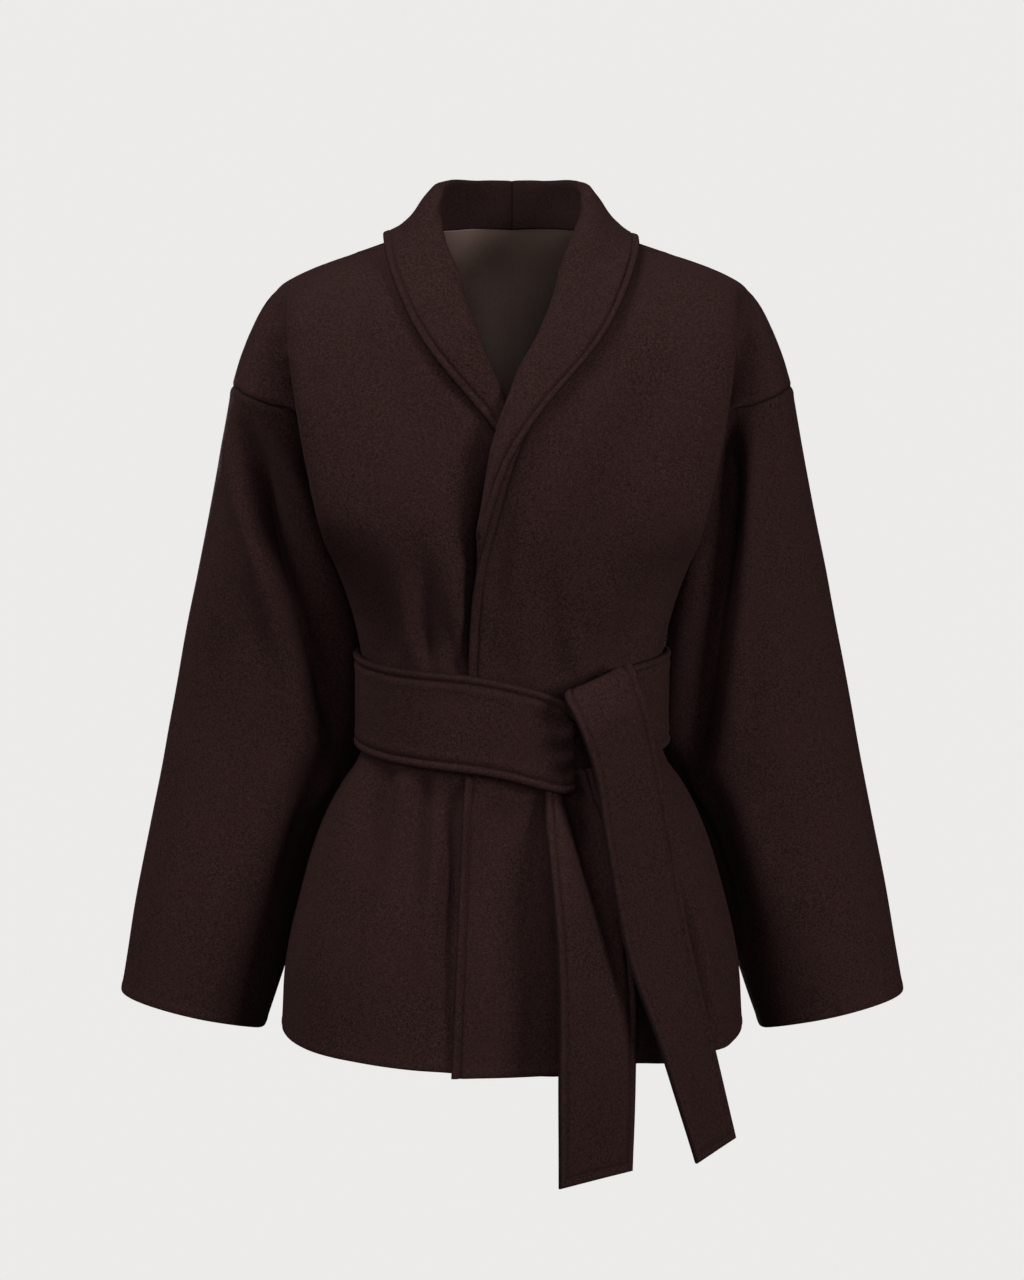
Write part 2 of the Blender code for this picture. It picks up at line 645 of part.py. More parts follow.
left = drawn_in(top_front, ("top", "last"))
right = drawn_in(under_front, ("top", "last"))
centre = drawn_in(back, ("top", "first", "last"))
arm = drawn_in(sleeve, ("top",), SEAM_GAP * 2)
wall("front_left", left, left - top_out * CLOTH_WALL, wool)
wall("front_right", mirrored(right), mirrored(right - under_out * CLOTH_WALL), wool)
wall("back", centre, centre - back_out * CLOTH_WALL, wool)
wall("sleeve_left", arm, arm - sleeve_out * CLOTH_WALL, wool, tube=True)
wall("sleeve_right", mirrored(arm), mirrored(arm - sleeve_out * CLOTH_WALL), wool, tube=True)

# The belt: the band round the waist and the two ends that hang from its half knot.
band, band_out = band_grid()
wall("belt_band", band, band - band_out * BELT_WALL, wool)
for name, table in (("belt_tail_upper", UPPER_TAIL), ("belt_tail_lower", LOWER_TAIL)):
    strip, strip_out = strip_grid(table)
    wall(name, strip, strip - strip_out * BELT_WALL, wool)

# The shawl collar: two halves with a seam at the centre back, lying on the fronts and the back.
falling = slice(COLLAR_COLUMNS // 2, None)
for name, lapel, front, front_out, turned in (
    ("collar_left", TOP_LAPEL, top_front, top_out, PLAIN),
    ("collar_right", UNDER_LAPEL, under_front, under_out, MIRROR),
):
    collar = collar_grid(lapel, front, front_out, half_back, back_out[:, BACK_COLUMNS:])
    below = (panel(front, -1), panel(half_back, 1))
    for _ in range(3):
        fall = collar[:, falling]
        fall[1:-1] = (fall[:-2] + 2 * fall[1:-1] + fall[2:]) / 4
        collar[:, falling] = clear_of(fall, below, LAYER_GAP + COLLAR_WALL)
    collar[0, :, 0] = SEAM_GAP / 2
    collar_out = normals(collar, 1)
    collar_out[0, :, 0] = 0
    collar_out[0] = unit(collar_out[0])
    wall(name, collar * turned, (collar - collar_out * COLLAR_WALL) * turned, wool)

# The satin that shows inside the neck is sewn in under the collar and hangs just inside the back.
rows = np.concatenate(([LINING_TOP_ROW], np.arange(1, ARMHOLE_ROWS + 2)))
across = slice(LINING_FIRST_COLUMN, 2 * BACK_COLUMNS - LINING_FIRST_COLUMN + 1)
gap = np.where(rows < 1, 2 * SEAM_GAP, LINING_GAP)[:, None, None]
ahead = (rows % 1)[:, None, None]
row = rows.astype(int)
lining = back[row, across] * (1 - ahead) + back[row + 1, across] * ahead
lining_out = unit(back_out[row, across] * (1 - ahead) + back_out[row + 1, across] * ahead)
lining = lining - lining_out * (CLOTH_WALL + gap)
wall("back_lining", lining, lining - lining_out * LINING_WALL, satin)
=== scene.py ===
"""Looks of the shawl collar wrap coat: felted wool cut pieces with turned edges, seams and topstitching.

The wearer's left is +X, the front faces -Y and +Z is up, as in the frame. Each piece follows the form of
its solid, with a few edges some millimetres nearer the photo, and gets its creases and sewing here.
"""

import math
from collections import namedtuple

import bmesh
import bpy
import numpy as np
from mathutils import Matrix, Vector, noise


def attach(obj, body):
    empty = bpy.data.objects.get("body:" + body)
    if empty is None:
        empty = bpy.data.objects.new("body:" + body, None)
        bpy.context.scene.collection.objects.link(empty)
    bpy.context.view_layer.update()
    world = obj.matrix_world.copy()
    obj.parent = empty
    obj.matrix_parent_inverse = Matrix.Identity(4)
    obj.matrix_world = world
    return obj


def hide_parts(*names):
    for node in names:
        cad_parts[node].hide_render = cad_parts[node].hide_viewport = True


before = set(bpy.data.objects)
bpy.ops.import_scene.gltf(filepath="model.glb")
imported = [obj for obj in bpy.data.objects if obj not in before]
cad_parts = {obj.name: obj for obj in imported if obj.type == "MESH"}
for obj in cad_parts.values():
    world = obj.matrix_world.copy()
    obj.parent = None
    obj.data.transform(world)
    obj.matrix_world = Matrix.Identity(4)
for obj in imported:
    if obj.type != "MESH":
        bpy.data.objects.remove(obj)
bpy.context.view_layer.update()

# The columns of tables that aren't lengths
AS_GIVEN = ("angle", "spread", "turn", "tilt", "along", "bulge")


def by_row(kind, rows):
    """A table of rows, in metres, from lengths in millimetres and other columns as given."""
    units = [1 if field in AS_GIVEN else 1000 for field in kind._fields]
    return [kind(*row) for row in np.array(rows) / units]


def by_column(kind, rows):
    """The same as one row of columns, with the rows sorted by the first column."""
    return kind(*np.transpose(by_row(kind, sorted(rows))))


# Thickness of each cloth, and the gaps between layers
CLOTH_WALL = 0.0025
COLLAR_WALL = 0.0030
LINING_WALL = 0.0010
BELT_WALL = 0.0040
SEAM_GAP = 0.0004
LAYER_GAP = 0.0006
LINING_GAP = 0.0012
SLEEVE_CLEARANCE = 0.0040

# Rows and columns of points in each piece's form
ARMHOLE_ROWS = 12
BODY_ROWS = 18
FRONT_COLUMNS = 18
BACK_COLUMNS = 12
SLEEVE_ROWS = 14
COLLAR_COLUMNS = 14
LINING_TOP_ROW = 0.02
LINING_FIRST_COLUMN = 3
BAND_COLUMNS = 160
BAND_ROWS = 8
TAIL_ROWS = 80
TAIL_COLUMNS = 8
DENSER = 4

# The body, its shoulders and its side seams
SQUARENESS = 0.05
FLARE_HEIGHT = -0.480
HEM_HEIGHT = -0.690
NECK_BACK = (0.0, 0.062, 0.006)
NECK_MIDWAY = (0.046, 0.048, 0.006)
UNDERARM = (0.150, 0.030, -0.285)
ARM_SHARE = 0.55
ARM_SWELL = 0.004
SLOPE_AT_NECK = np.array((0.5, 0.60, 0.42))
SLOPE_AT_ARM = np.array((0.5, 0.71, 0.29))
TINY = 1e-9

Torso = namedtuple("Torso", "height half_width front back")
TORSO = by_column(Torso, (
    (10, 186, 50, 66),
    (-85, 186, 90, 102),
    (-130, 182, 108, 110),
    (-190, 174, 122, 115),
    (-250, 161, 126, 110),
    (-305, 146, 119, 102),
    (-352, 132.5, 109, 94),
    (-406, 128, 104, 90),
    (-452, 132.5, 107, 94),
    (-482, 152, 114, 106),
    (-520, 170, 122, 118),
    (-568, 184.5, 131, 130),
    (-605, 194, 138, 138),
    (-645, 200.5, 145, 145),
    (-720, 203, 152, 152),
))

Shoulder = namedtuple("Shoulder", "x z")
SHOULDER_Y = 0.006
SHOULDER = by_column(Shoulder, (
    (78, 1.5),
    (108, -10.5),
    (140, -19.8),
    (168.5, -30.2),
    (188, -39),
    (207, -54.5),
    (228.5, -90.5),
    (242, -132),
))
SHOULDER_SEAM = np.insert(np.transpose(SHOULDER), 1, SHOULDER_Y, axis=1)

Cap = namedtuple("Cap", "edge_z crest_x crest_y crest_z valley_x valley_y valley_z seam_x seam_y seam_z")
FRONT_CAP = by_row(Cap, (
    (-62, 189, -62, -85, 189, -34, -96, 225.5, -47, -139),
    (-115, 184, -78, -128, 179, -38, -130, 205, -53, -147),
    (-180, 174, -83, -190, 170, -40, -168, 180, -45, -157),
    (-245, 161, -78, -250, 160, -28, -232, 163, -12, -218),
))
BACK_CAP = by_row(Cap, (
    (-85, 182, 90, -85, 204, 79, -110, 229, 62, -140),
    (-130, 180, 98, -130, 192, 94, -142, 213, 82, -156),
    (-190, 173, 100, -190, 177, 94, -186, 190, 88, -182),
    (-250, 162, 92, -250, 165, 82, -244, 168, 68, -236),
))
UNDERARM_ROW = 2 + len(FRONT_CAP)

SideSeam = namedtuple("SideSeam", "height angle")
SIDE_SEAM = by_column(SideSeam, (
    (-720, 1.52),
    (-452, 1.53),
    (-406, 1.57),
    (-352, 1.68),
    (-305, 1.84),
))
BODY_HEIGHTS = (-0.305, -0.352, -0.406, -0.452, -0.482, -0.520, -0.568, -0.620, HEM_HEIGHT)
CHEST_SHARE = (0.0, 0.30, 0.58, 0.82, 1.0)
ARMPIT_SHARE = (0.0, 0.30, 0.56, 0.76, 0.87, 0.92, 0.96, 1.0)
HEM_SHARE = (0.0, 0.15, 0.30, 0.45, 0.59, 0.73, 0.87, 1.0)

# The front edges, and how far they lift off the body
Edge = namedtuple("Edge", "height x lift")
TOP_EDGE = by_column(Edge, (
    (2, 78, 0),
    (-62, 56, 0),
    (-115, 30, 6),
    (-180, -1, 9.5),
    (-245, -20.5, 7.5),
    (-280, -29.6, 5),
    (-305, -32.6, 3),
    (-352, -35.5, 2),
    (-406, -37, 2),
    (-452, -39, 2),
    (-703, -49.7, 3),
))
UNDER_EDGE = by_column(Edge, (
    (2, 78, 0),
    (-62, 56, 0),
    (-115, 30, -5),
    (-180, -2, -9.5),
    (-245, -18, -8),
    (-305, -25, -4),
    (-352, -30, -3),
    (-406, -33, -3),
    (-452, -35, -3),
    (-702, -45, -3),
))
LIFT_REACH = 0.055
LIFT_FULL = 0.9
PLAIN = np.array((1, 1, 1))
MIRROR = np.array((-1, 1, 1))

# Gathers above and below the belt
Fold = namedtuple("Fold", "angle top bottom deepest depth spread")
FOLDS = by_row(Fold, (
    (-0.62, -455, -600, -480, -6, 0.15),
    (-0.98, -455, -640, -490, -5, 0.16),
    (0.95, -455, -640, -490, -5.5, 0.16),
    (1.3, -455, -620, -485, -4, 0.14),
    (2.6, -455, -640, -490, -6, 0.17),
    (-2.55, -455, -640, -490, -6, 0.17),
    (-0.55, -250, -355, -345, -4, 0.12),
    (0.75, -250, -355, -345, -4, 0.14),
    (2.7, -230, -355, -340, -6, 0.16),
    (-2.7, -230, -355, -340, -6, 0.16),
))

# The sleeve, ring by ring down to the cuff
Ring = namedtuple("Ring", "outer_x outer_z inner_x inner_z centre_y half_depth")
SLEEVE = by_row(Ring, (
    (264.4, -235, 141, -318, 42, 84),
    (289.5, -350, 131.5, -385, 54, 80),
    (303.5, -422, 131, -455, 58, 80),
    (318, -497, 156.5, -530, 57, 79),
    (332.5, -568, 186, -600, 50, 76),
    (349.5, -662, 218.5, -697, 38, 66),
))

# The shawl collar, from the centre back along its roll line and its outer edge
Lapel = namedtuple("Lapel", "roll_x roll_y roll_z edge_x edge_y edge_z along bulge")
TOP_LAPEL = by_row(Lapel, (
    (0, 60, 44.2, 0, 93, -14, 0, 0.02),
    (32, 54, 44.6, 50, 85, -14, 0.5, 0),
    (54.5, 33, 43.2, 93, 56, -11, 0.8, -0.01),
    (61.8, 4, 34.5, 108.5, 10, -5.5, 1, -0.02),
    (58.5, -20, 8, 106.5, -32, -24, 1.17, 0.03),
    (44.5, -52, -28, 98, -62, -52, 1.37, 0.08),
    (27.5, -88, -77, 73.7, -96, -97, 1.73, 0.12),
    (-3, -118, -143, 25, -120, -153, 2.16, 0.14),
    (-13, -128, -178, 1, -130, -188, 2.41, 0.14),
    (-23.6, -135, -236, -16.8, -136, -237, 2.75, 0.14),
    (-31.2, -131, -280, -29, -132, -280, 3, 0.14),
))
UNDER_LAPEL = TOP_LAPEL[:4] + by_row(Lapel, (
    (62, -20, 8, 106.5, -32, -24, 1.17, 0.03),
    (50, -52, -28, 98, -62, -52, 1.37, 0.08),
    (32.5, -88, -77, 72, -96, -97, 1.73, 0.1),
    (7.8, -107, -143, 26.5, -108, -152, 2.16, 0.06),
    (-6, -110, -170, 8, -110, -175, 2.36, 0.06),
))
ALONG = Lapel._fields.index("along")
BULGE = Lapel._fields.index("bulge")
COLLAR_TUCK = 0.0025
NEAR_PANEL = 0.025
BESIDE_PANEL = 0.010
COLLAR_STATIONS = 48
BREAK_HEIGHT = -0.280
FRONT_TUCK_LOSS = 0.5
STAND_SHARE = 0.6
ROLL_SHARE = 0.14
ROLL_LIFT = 0.05
ROLL_BULGE = 0.3
FALL_SHARE = 0.52
SMOOTHING_ROUNDS = 3

# The belt: its band and its two hanging ends
Band = namedtuple("Band", "angle height width standoff")
BELT_WIDTH = 0.082
BAND = by_column(Band, (
    (-5.66, -408, 82, 0.5),
    (-5.2, -402, 82, 1),
    (-4.71, -400, 82, 1),
    (-3.14, -400, 82, 1),
    (-1.57, -401, 82, 1),
    (-0.8, -407, 82, 1.5),
    (0, -417, 82, 6),
    (0.2, -425, 81, 9.5),
    (0.29, -430, 76, 8.5),
    (0.34, -434, 66, 5),
))
BAND_LEVELS = 7
BAND_LIFT = 0.004
BAND_LIFT_COSINE = 0.75
BAND_LIFT_FADE = 0.2

Strip = namedtuple("Strip", "x y z turn tilt width")
UPPER_TAIL = by_row(Strip, (
    (74.5, -103.6, -400, 24, 10, 34),
    (74.8, -106.6, -383, 24, 14, 40),
    (71.5, -124, -375, 26, 20, 66),
    (79.5, -135, -394, 30, 17, 67),
    (92.5, -133, -440, 38, 6, 69),
    (103, -130, -500, 44, 0, 78),
    (119, -133, -590, 48, 0, 82),
    (146, -137, -685, 58, 0, 82),
    (168.5, -140, -767, 63, 0, 82),
))
LOWER_TAIL = by_row(Strip, (
    (48, -113.4, -448, 8, 0, 42),
    (51, -115.2, -476, 10, 0, 50),
    (56, -127, -505, 24, 0, 62),
    (63, -144, -550, 32, 0, 73),
    (69, -158, -620, 34, 0, 78),
    (69, -168, -700, 37, 0, 80),
    (68, -170, -782, 40, 0, 80),
))


def through(knots, values, at):
    """A smooth curve through the rows of values at rising knots, read at the places `at`."""
    knots = np.asarray(knots, float)
    values = np.asarray(values, float)
    flat = values.reshape(len(knots), -1)
    step = np.diff(knots)[:, None]
    rise = np.diff(flat, axis=0) / step
    slope = np.vstack((rise[:1], rise))
    slope[1:-1] = (rise[:-1] * step[1:] + rise[1:] * step[:-1]) / (step[1:] + step[:-1])
    at = np.atleast_1d(at)
    i = np.clip(np.searchsorted(knots, at) - 1, 0, len(step) - 1)
    s = ((at - knots[i]) / step[i, 0])[:, None]
    start = flat[i] + s * step[i] * slope[i]
    bend = 3 * (flat[i + 1] - flat[i]) - step[i] * (2 * slope[i] + slope[i + 1])
    twist = 2 * (flat[i] - flat[i + 1]) + step[i] * (slope[i] + slope[i + 1])
    return (start + s**2 * bend + s**3 * twist).reshape(at.shape + values.shape[1:])


def chord_knots(points):
    """Knots from 0 to 1 spaced by the mean distance between neighbouring rows of points."""
    gaps = np.linalg.norm(np.diff(points, axis=0), axis=-1)
    total = np.cumsum(gaps.reshape(len(gaps), -1).mean(axis=1))
    return np.concatenate(([0.0], total / total[-1]))


def unit(vectors):
    return vectors / np.maximum(np.linalg.norm(vectors, axis=-1, keepdims=True), TINY)


def ease(t):
    t = np.clip(t, 0.0, 1.0)
    return t * t * (3 - 2 * t)


def torso_size(column, height):
    return through(TORSO.height, column, np.ravel(height)).reshape(np.shape(height))


def ring(angle, height):
    """A point on the hollow body below the armholes; angle 0 is centre front, positive to +X."""
    angle, height = np.broadcast_arrays(angle, height)
    front = torso_size(TORSO.front, height)
    back_depth = torso_size(TORSO.back, height)
    depth = np.where(np.cos(angle) > 0, front, back_depth)
    square = 1 + SQUARENESS * np.sin(2 * angle) ** 2
    x = torso_size(TORSO.half_width, height) * np.sin(angle) * square
    y = -depth * np.cos(angle) * square
    return np.stack((x, y, height), axis=-1)


def chest_row(cap, start_x, depth):
    """Five points from the panel's inner edge to the fold beside the arm."""
    start = np.arcsin(np.clip(start_x / cap.crest_x, -1, 1))
    theta = start + (np.pi / 2 - start) * np.array(CHEST_SHARE)
    height = cap.edge_z + (cap.crest_z - cap.edge_z) * np.array(CHEST_SHARE)
    facing = np.sign(cap.crest_y)
    bulge = torso_size(depth, height) - abs(cap.crest_y)
    square = 1 + SQUARENESS * np.sin(2 * theta) ** 2
    x = cap.crest_x * np.sin(theta) * square
    y = cap.crest_y + facing * bulge * np.cos(theta)
    return np.stack((x, y, height), axis=-1)


def cap_row(cap, start_x, depth):
    chest = chest_row(cap, start_x, depth)
    valley = np.array((cap.valley_x, cap.valley_y, cap.valley_z))
    seam = np.array((cap.seam_x, cap.seam_y, cap.seam_z))
    arm = valley + (seam - valley) * ARM_SHARE
    arm[1] += ARM_SWELL * np.sign(cap.crest_y)
    return np.vstack((chest, valley, arm, seam))


def body_row(height, start_x, start_height, facing):
    """Eight points round the body from the inner edge to the side seam."""
    fall = (height - BODY_HEIGHTS[0]) / (BODY_HEIGHTS[-1] - BODY_HEIGHTS[0])
    share = np.array(ARMPIT_SHARE) * (1 - fall) + np.array(HEM_SHARE) * fall
    side = through(SIDE_SEAM.height, SIDE_SEAM.angle, height)[0]
    start = np.pi
    if facing < 0:
        start = np.arcsin(start_x / torso_size(TORSO.half_width, height))
    angle = start + (side - start) * share
    heights = start_height + (height - start_height) * share
    return ring(angle, heights)


def slope_row(top, below):
    """The row that rounds over from the shoulder seam to the first row below it."""
    toward_arm = np.linspace(0, 1, len(top))[:, None]
    share = SLOPE_AT_NECK + (SLOPE_AT_ARM - SLOPE_AT_NECK) * toward_arm
    return top + (below - top) * share


def sample_rows(knots):
    """Row places with the underarm row among them: even above it and even below it."""
    underarm = knots[UNDERARM_ROW]
    upper = np.linspace(0, underarm, ARMHOLE_ROWS + 1)
    return np.concatenate((upper, np.linspace(underarm, 1, BODY_ROWS + 1)[1:]))


def front_grid(edge):
    """Outer surface of a front on the +X side: rows go down, columns go from its edge to its side."""
    upper = []
    for cap in FRONT_CAP:
        edge_x = through(edge.height, edge.x, cap.edge_z)[0]
        upper.append(cap_row(cap, edge_x, TORSO.front))
    lower = []
    for height in BODY_HEIGHTS:
        dip = max(0.0, (height - FLARE_HEIGHT) / (HEM_HEIGHT - FLARE_HEIGHT))
        edge_height = height + (edge.height[0] - HEM_HEIGHT) * dip
        edge_x = through(edge.height, edge.x, edge_height)[0]
        lower.append(body_row(height, edge_x, edge_height, -1))
    lower[0][-1] = UNDERARM
    net = np.array([SHOULDER_SEAM, slope_row(SHOULDER_SEAM, upper[0])] + upper + lower)
    turned = net.transpose(1, 0, 2)
    places = np.linspace(0, 1, FRONT_COLUMNS + 1)
    down = chord_knots(net)
    grid = through(chord_knots(turned), turned, places).transpose(1, 0, 2)
    grid = through(down, grid, sample_rows(down))
    lift = through(edge.height, edge.lift, grid[:, 0, 2])
    from_edge = (grid[..., 0] - grid[:, :1, 0]) / LIFT_REACH
    amount = lift[:, None] * (1 - ease(from_edge - LIFT_FULL))
    return grid + normals(grid, outward=-1) * amount[..., None]


def back_half_grid():
    """Outer surface of the back on the +X side, from the centre line to the side seam."""
    upper = [cap_row(cap, 0.0, TORSO.back) for cap in BACK_CAP]
    lower = [body_row(height, 0.0, height, 1) for height in BODY_HEIGHTS]
    lower[0][-1] = UNDERARM
    seam = SHOULDER_SEAM
    top = np.vstack((NECK_BACK, NECK_MIDWAY, seam[0], seam[2], seam[4:]))
    net = np.array([top, slope_row(top, upper[0])] + upper + lower)
    across = chord_knots(net[1:].transpose(1, 0, 2))
    down = chord_knots(net)
    places = np.linspace(0, 1, BACK_COLUMNS + 1)
    places[np.argmin(abs(places - across[2]))] = across[2]
    rows = [through(across, row, places) for row in net]
    neck = places <= across[2]
    rows[0][neck] = through(across[:3], top[:3], places[neck])
    rows[0][~neck] = through(across[2:], top[2:], places[~neck])
    return through(down, np.array(rows), sample_rows(down))


def normals(grid, outward):
    """Unit normals of a grid of points; outward is 1 where the mean should face +Y, -1 for -Y."""
    along = np.gradient(grid, axis=0)
    across = np.gradient(grid, axis=1)
    found = unit(np.cross(along, across))
    return found if found[..., 1].mean() * outward > 0 else -found


def folded(grid, facing):
    """The grid with the gathers at the belt pressed into it."""
    angle = np.arctan2(grid[..., 0], -grid[..., 1])
    height = grid[..., 2]
    depth = np.zeros_like(height)
    for fold in FOLDS:
        turn = (angle - fold.angle + np.pi) % (2 * np.pi) - np.pi
        across = np.exp(-((turn / fold.spread) ** 2))
        above = ease((fold.top - height) / (fold.top - fold.deepest))
        below = ease((height - fold.bottom) / (fold.deepest - fold.bottom))
        depth += fold.depth * across * above * below
    return grid + normals(grid, facing) * depth[..., None]


def clear_of(points, panels, clearance):
    """Points pushed out along the nearest panel's normal until they clear it."""
    shape = points.shape
    moved = points.reshape(-1, 3).copy()
    for surface, facing in panels:
        base = surface.reshape(-1, 3)
        out = facing.reshape(-1, 3)
        for i, point in enumerate(moved):
            nearest = np.argmin(((base - point) ** 2).sum(axis=1))
            away = point - base[nearest]
            height = away @ out[nearest]
            beside = np.linalg.norm(away - height * out[nearest])
            if height < clearance and abs(height) < NEAR_PANEL and beside < BESIDE_PANEL:
                moved[i] = point + out[nearest] * (clearance - height)
    return moved.reshape(shape)


def sleeve_grid(armhole):
    """Outer surface of the +X sleeve: rows from the armhole seam to the cuff, columns round it."""
    lengths = np.linalg.norm(np.diff(armhole, axis=0), axis=1)
    turn = np.concatenate(([0.0], np.cumsum(lengths))) / lengths.sum() * 2 * np.pi
    rows = [armhole]
    for part in SLEEVE:
        outer = np.array((part.outer_x, part.centre_y, part.outer_z))
        inner = np.array((part.inner_x, part.centre_y, part.inner_z))
        middle = (outer + inner) / 2
        reach = (outer - inner) / 2
        depth = np.array((0, -part.half_depth, 0))
        rows.append(middle + np.cos(turn)[:, None] * reach + np.sin(turn)[:, None] * depth)
    net = np.array(rows)
    knots = chord_knots(net)
    grid = through(knots, net, np.linspace(0, 1, SLEEVE_ROWS + 1))
    grid[:, -1] = grid[:, 0]
    return grid


def tube_normals(grid):
    """Unit normals of a closed tube, facing away from its middle."""
    wrapped = np.concatenate((grid[:, -2:-1], grid, grid[:, 1:2]), axis=1)
    across = np.gradient(wrapped, axis=1)[:, 1:-1]
    along = np.gradient(grid, axis=0)
    found = unit(np.cross(along, across))
    away = grid - grid[:, :-1].mean(axis=1, keepdims=True)
    return found if (found * away).sum() > 0 else -found


def collar_grid(lapel, front, front_out, half_back, half_back_out):
    """The face of a collar half next to the coat, on the +X side.

    Rows run from the centre back to the front end. Columns start inside the neck, rise to the
    roll line, turn over it and fall to the outer edge.
    """
    table = np.array(lapel)
    stations = np.linspace(0, table[-1, ALONG], COLLAR_STATIONS + 1)
    table = through(table[:, ALONG], table, stations)
    roll = table[:, :3]
    edge = table[:, 3:6]
    bulge = table[:, [BULGE]]
    corner = np.argmin(abs(half_back[0, :, 0] - SHOULDER.x[0]))
    last = np.argmin(abs(front[:, 0, 2] - BREAK_HEIGHT)) + 1
    neck = slice(0, corner + 1)
    side = slice(0, last)
    along = np.concatenate((
        chord_knots(half_back[0, neck, None])[:-1],
        1 + 2 * chord_knots(front[side, 0, None]),
    ))
    seam = np.concatenate((half_back[0, neck][:-1], front[side, 0]))
    below = np.concatenate((half_back[1, neck][:-1], front[side, 1]))
    facing = np.concatenate((half_back_out[0, neck][:-1], front_out[side, 0]))
    seam, below, facing = (through(along, rows, stations) for rows in (seam, below, facing))
    rise = unit(roll - seam)
    into = unit(below - seam)
    toward_neck = -facing - into
    toward_neck = unit(toward_neck - (toward_neck * rise).sum(axis=1, keepdims=True) * rise)
    into_wall = np.maximum(0, -(facing * toward_neck).sum(axis=1, keepdims=True)) * CLOTH_WALL
    lapped = seam + toward_neck * (into_wall + SEAM_GAP + COLLAR_WALL)
    tuck = COLLAR_TUCK * (1 - FRONT_TUCK_LOSS * ease(stations[:, None] - 1))
    tucked = lapped - rise * tuck
    fall = edge - roll
    lift = facing - (facing * unit(fall)).sum(axis=1, keepdims=True) * unit(fall)
    lift = unit(lift) * np.linalg.norm(fall, axis=1, keepdims=True)
    section = np.array((
        tucked,
        lapped,
        lapped + (roll - lapped) * STAND_SHARE,
        roll,
        roll + fall * ROLL_SHARE + lift * (ROLL_LIFT + ROLL_BULGE * bulge),
        roll + fall * FALL_SHARE + lift * bulge,
        edge,
    ))
    places = np.linspace(0, 1, COLLAR_COLUMNS + 1)
    rows = []
    for line in section.transpose(1, 0, 2):
        rows.append(through(chord_knots(line[:, None]), line, places))
    return np.array(rows)


def band_grid():
    """Outer face of the belt round the waist: rows go up, columns go round."""
    angle = np.linspace(BAND.angle[0], BAND.angle[-1], BAND_COLUMNS + 1)
    centre = through(BAND.angle, BAND.height, angle)
    width = through(BAND.angle, BAND.width, angle)
    standoff = through(BAND.angle, BAND.standoff, angle)
    heights = centre + np.linspace(-0.5, 0.5, BAND_LEVELS)[:, None] * BELT_WIDTH
    waist = ring(np.broadcast_to(angle, heights.shape), heights)
    widest = np.linalg.norm(waist[..., :2], axis=-1).max(axis=0)
    shape = ring(angle, centre)
    direction = unit(shape * np.array((1, 1, 0)))
    front_lift = BAND_LIFT * ease((np.cos(angle) - BAND_LIFT_COSINE) / BAND_LIFT_FADE)
    radius = widest + front_lift + standoff + LAYER_GAP + BELT_WALL
    rows = []
    for share in np.linspace(-0.5, 0.5, BAND_ROWS + 1):
        row = direction * radius[:, None]
        row[:, 2] = centre + share * width
        rows.append(row)
    grid = np.array(rows)
    return grid, np.broadcast_to(direction, grid.shape)


def strip_grid(table):
    """The face of a hanging belt end next to the coat: rows go along it, columns across.

    In degrees, turn is its yaw and tilt is how far its +X side is raised.
    """
    table = np.array(table)
    knots = chord_knots(table[:, None, :3])
    table = through(knots, table, np.linspace(0, 1, TAIL_ROWS + 1))
    middle = table[:, :3]
    turn, tilt = np.radians(table[:, 3:5]).T
    along = unit(np.gradient(middle, axis=0))
    level = np.cos(tilt)
    across = np.stack((np.cos(turn) * level, np.sin(turn) * level, np.sin(tilt)), axis=-1)
    share = np.linspace(-0.5, 0.5, TAIL_COLUMNS + 1)[:, None] * table[:, None, 5:]
    grid = middle[:, None] + across[:, None] * share
    out = unit(np.cross(across, along))
    return grid, np.broadcast_to(out[:, None], grid.shape)


def panel(grid, outward):
    """A surface and its normals, with enough points to measure distances to it."""
    for _ in range(2):
        last = len(grid) - 1
        places = np.linspace(0, last, last * DENSER + 1)
        grid = through(np.arange(last + 1), grid, places).transpose(1, 0, 2)
    return grid, normals(grid, outward)


# Sewing and edges
STITCH_INSET = 0.0075
STITCH_PITCH = 0.0042
STITCH_LENGTH = 0.0033
STITCH_WIDTH = 0.0009
STITCH_HEIGHT = 0.0007
EDGE_STEPS = np.array((
    0.0, 0.0003, 0.0008, 0.0016, 0.0028, 0.0042, 0.0056, 0.0066, STITCH_INSET, 0.0084, 0.0098, 0.0135,
))
SHORT_LINE = 3 * EDGE_STEPS[-1]
STITCH_LINE = int(np.argmin(abs(EDGE_STEPS - STITCH_INSET)))
EDGE_ROUNDING = 0.42
SEAM_ALLOWANCE = 0.006
SEAM_FORWARD = 0.0140
SEAM_FORWARD_UNTIL = 0.100
SEAM_FORWARD_FADE = 0.045
NECK_EDGE_FROM = -0.050
NECK_EDGE_REACH = 0.035
NECK_EDGE_SHARE = 0.25
WELD_DISTANCE = 1e-6

Relief = namedtuple("Relief", "height centre reach")
# An edge turned in and topstitched: a soft roll, then the dip of the stitch line.
TURNED_EDGE = (
    Relief(0.0013, 0.0036, 0.0027),
    Relief(-0.0018, STITCH_INSET, 0.0011),
    Relief(0.0007, 0.0122, 0.0032),
)
# A seam pressed open: a narrow groove beside the faint ridge of its seam allowance.
PRESSED_SEAM = (Relief(0.0004, 0.0064, 0.0030), Relief(-0.0012, 0.0, 0.0018))
# A hem turned up and caught from inside, a little fuller than the cloth above it.
BLIND_HEM = (Relief(0.0005, 0.004, 0.004),)
PLAIN_EDGE = ()

# How wide and how dark the painted shade is in seams, along turned edges and on the collar's stand
SEAM_PAINTED_SHADE_WIDTH = 0.0012
EDGE_PAINTED_SHADE_WIDTH = 0.0010
EDGE_PAINTED_SHADE_DARKNESS = 0.85
STAND_REACH = 0.030
STAND_FACING = 3
STAND_PAINTED_SHADE = 0.45

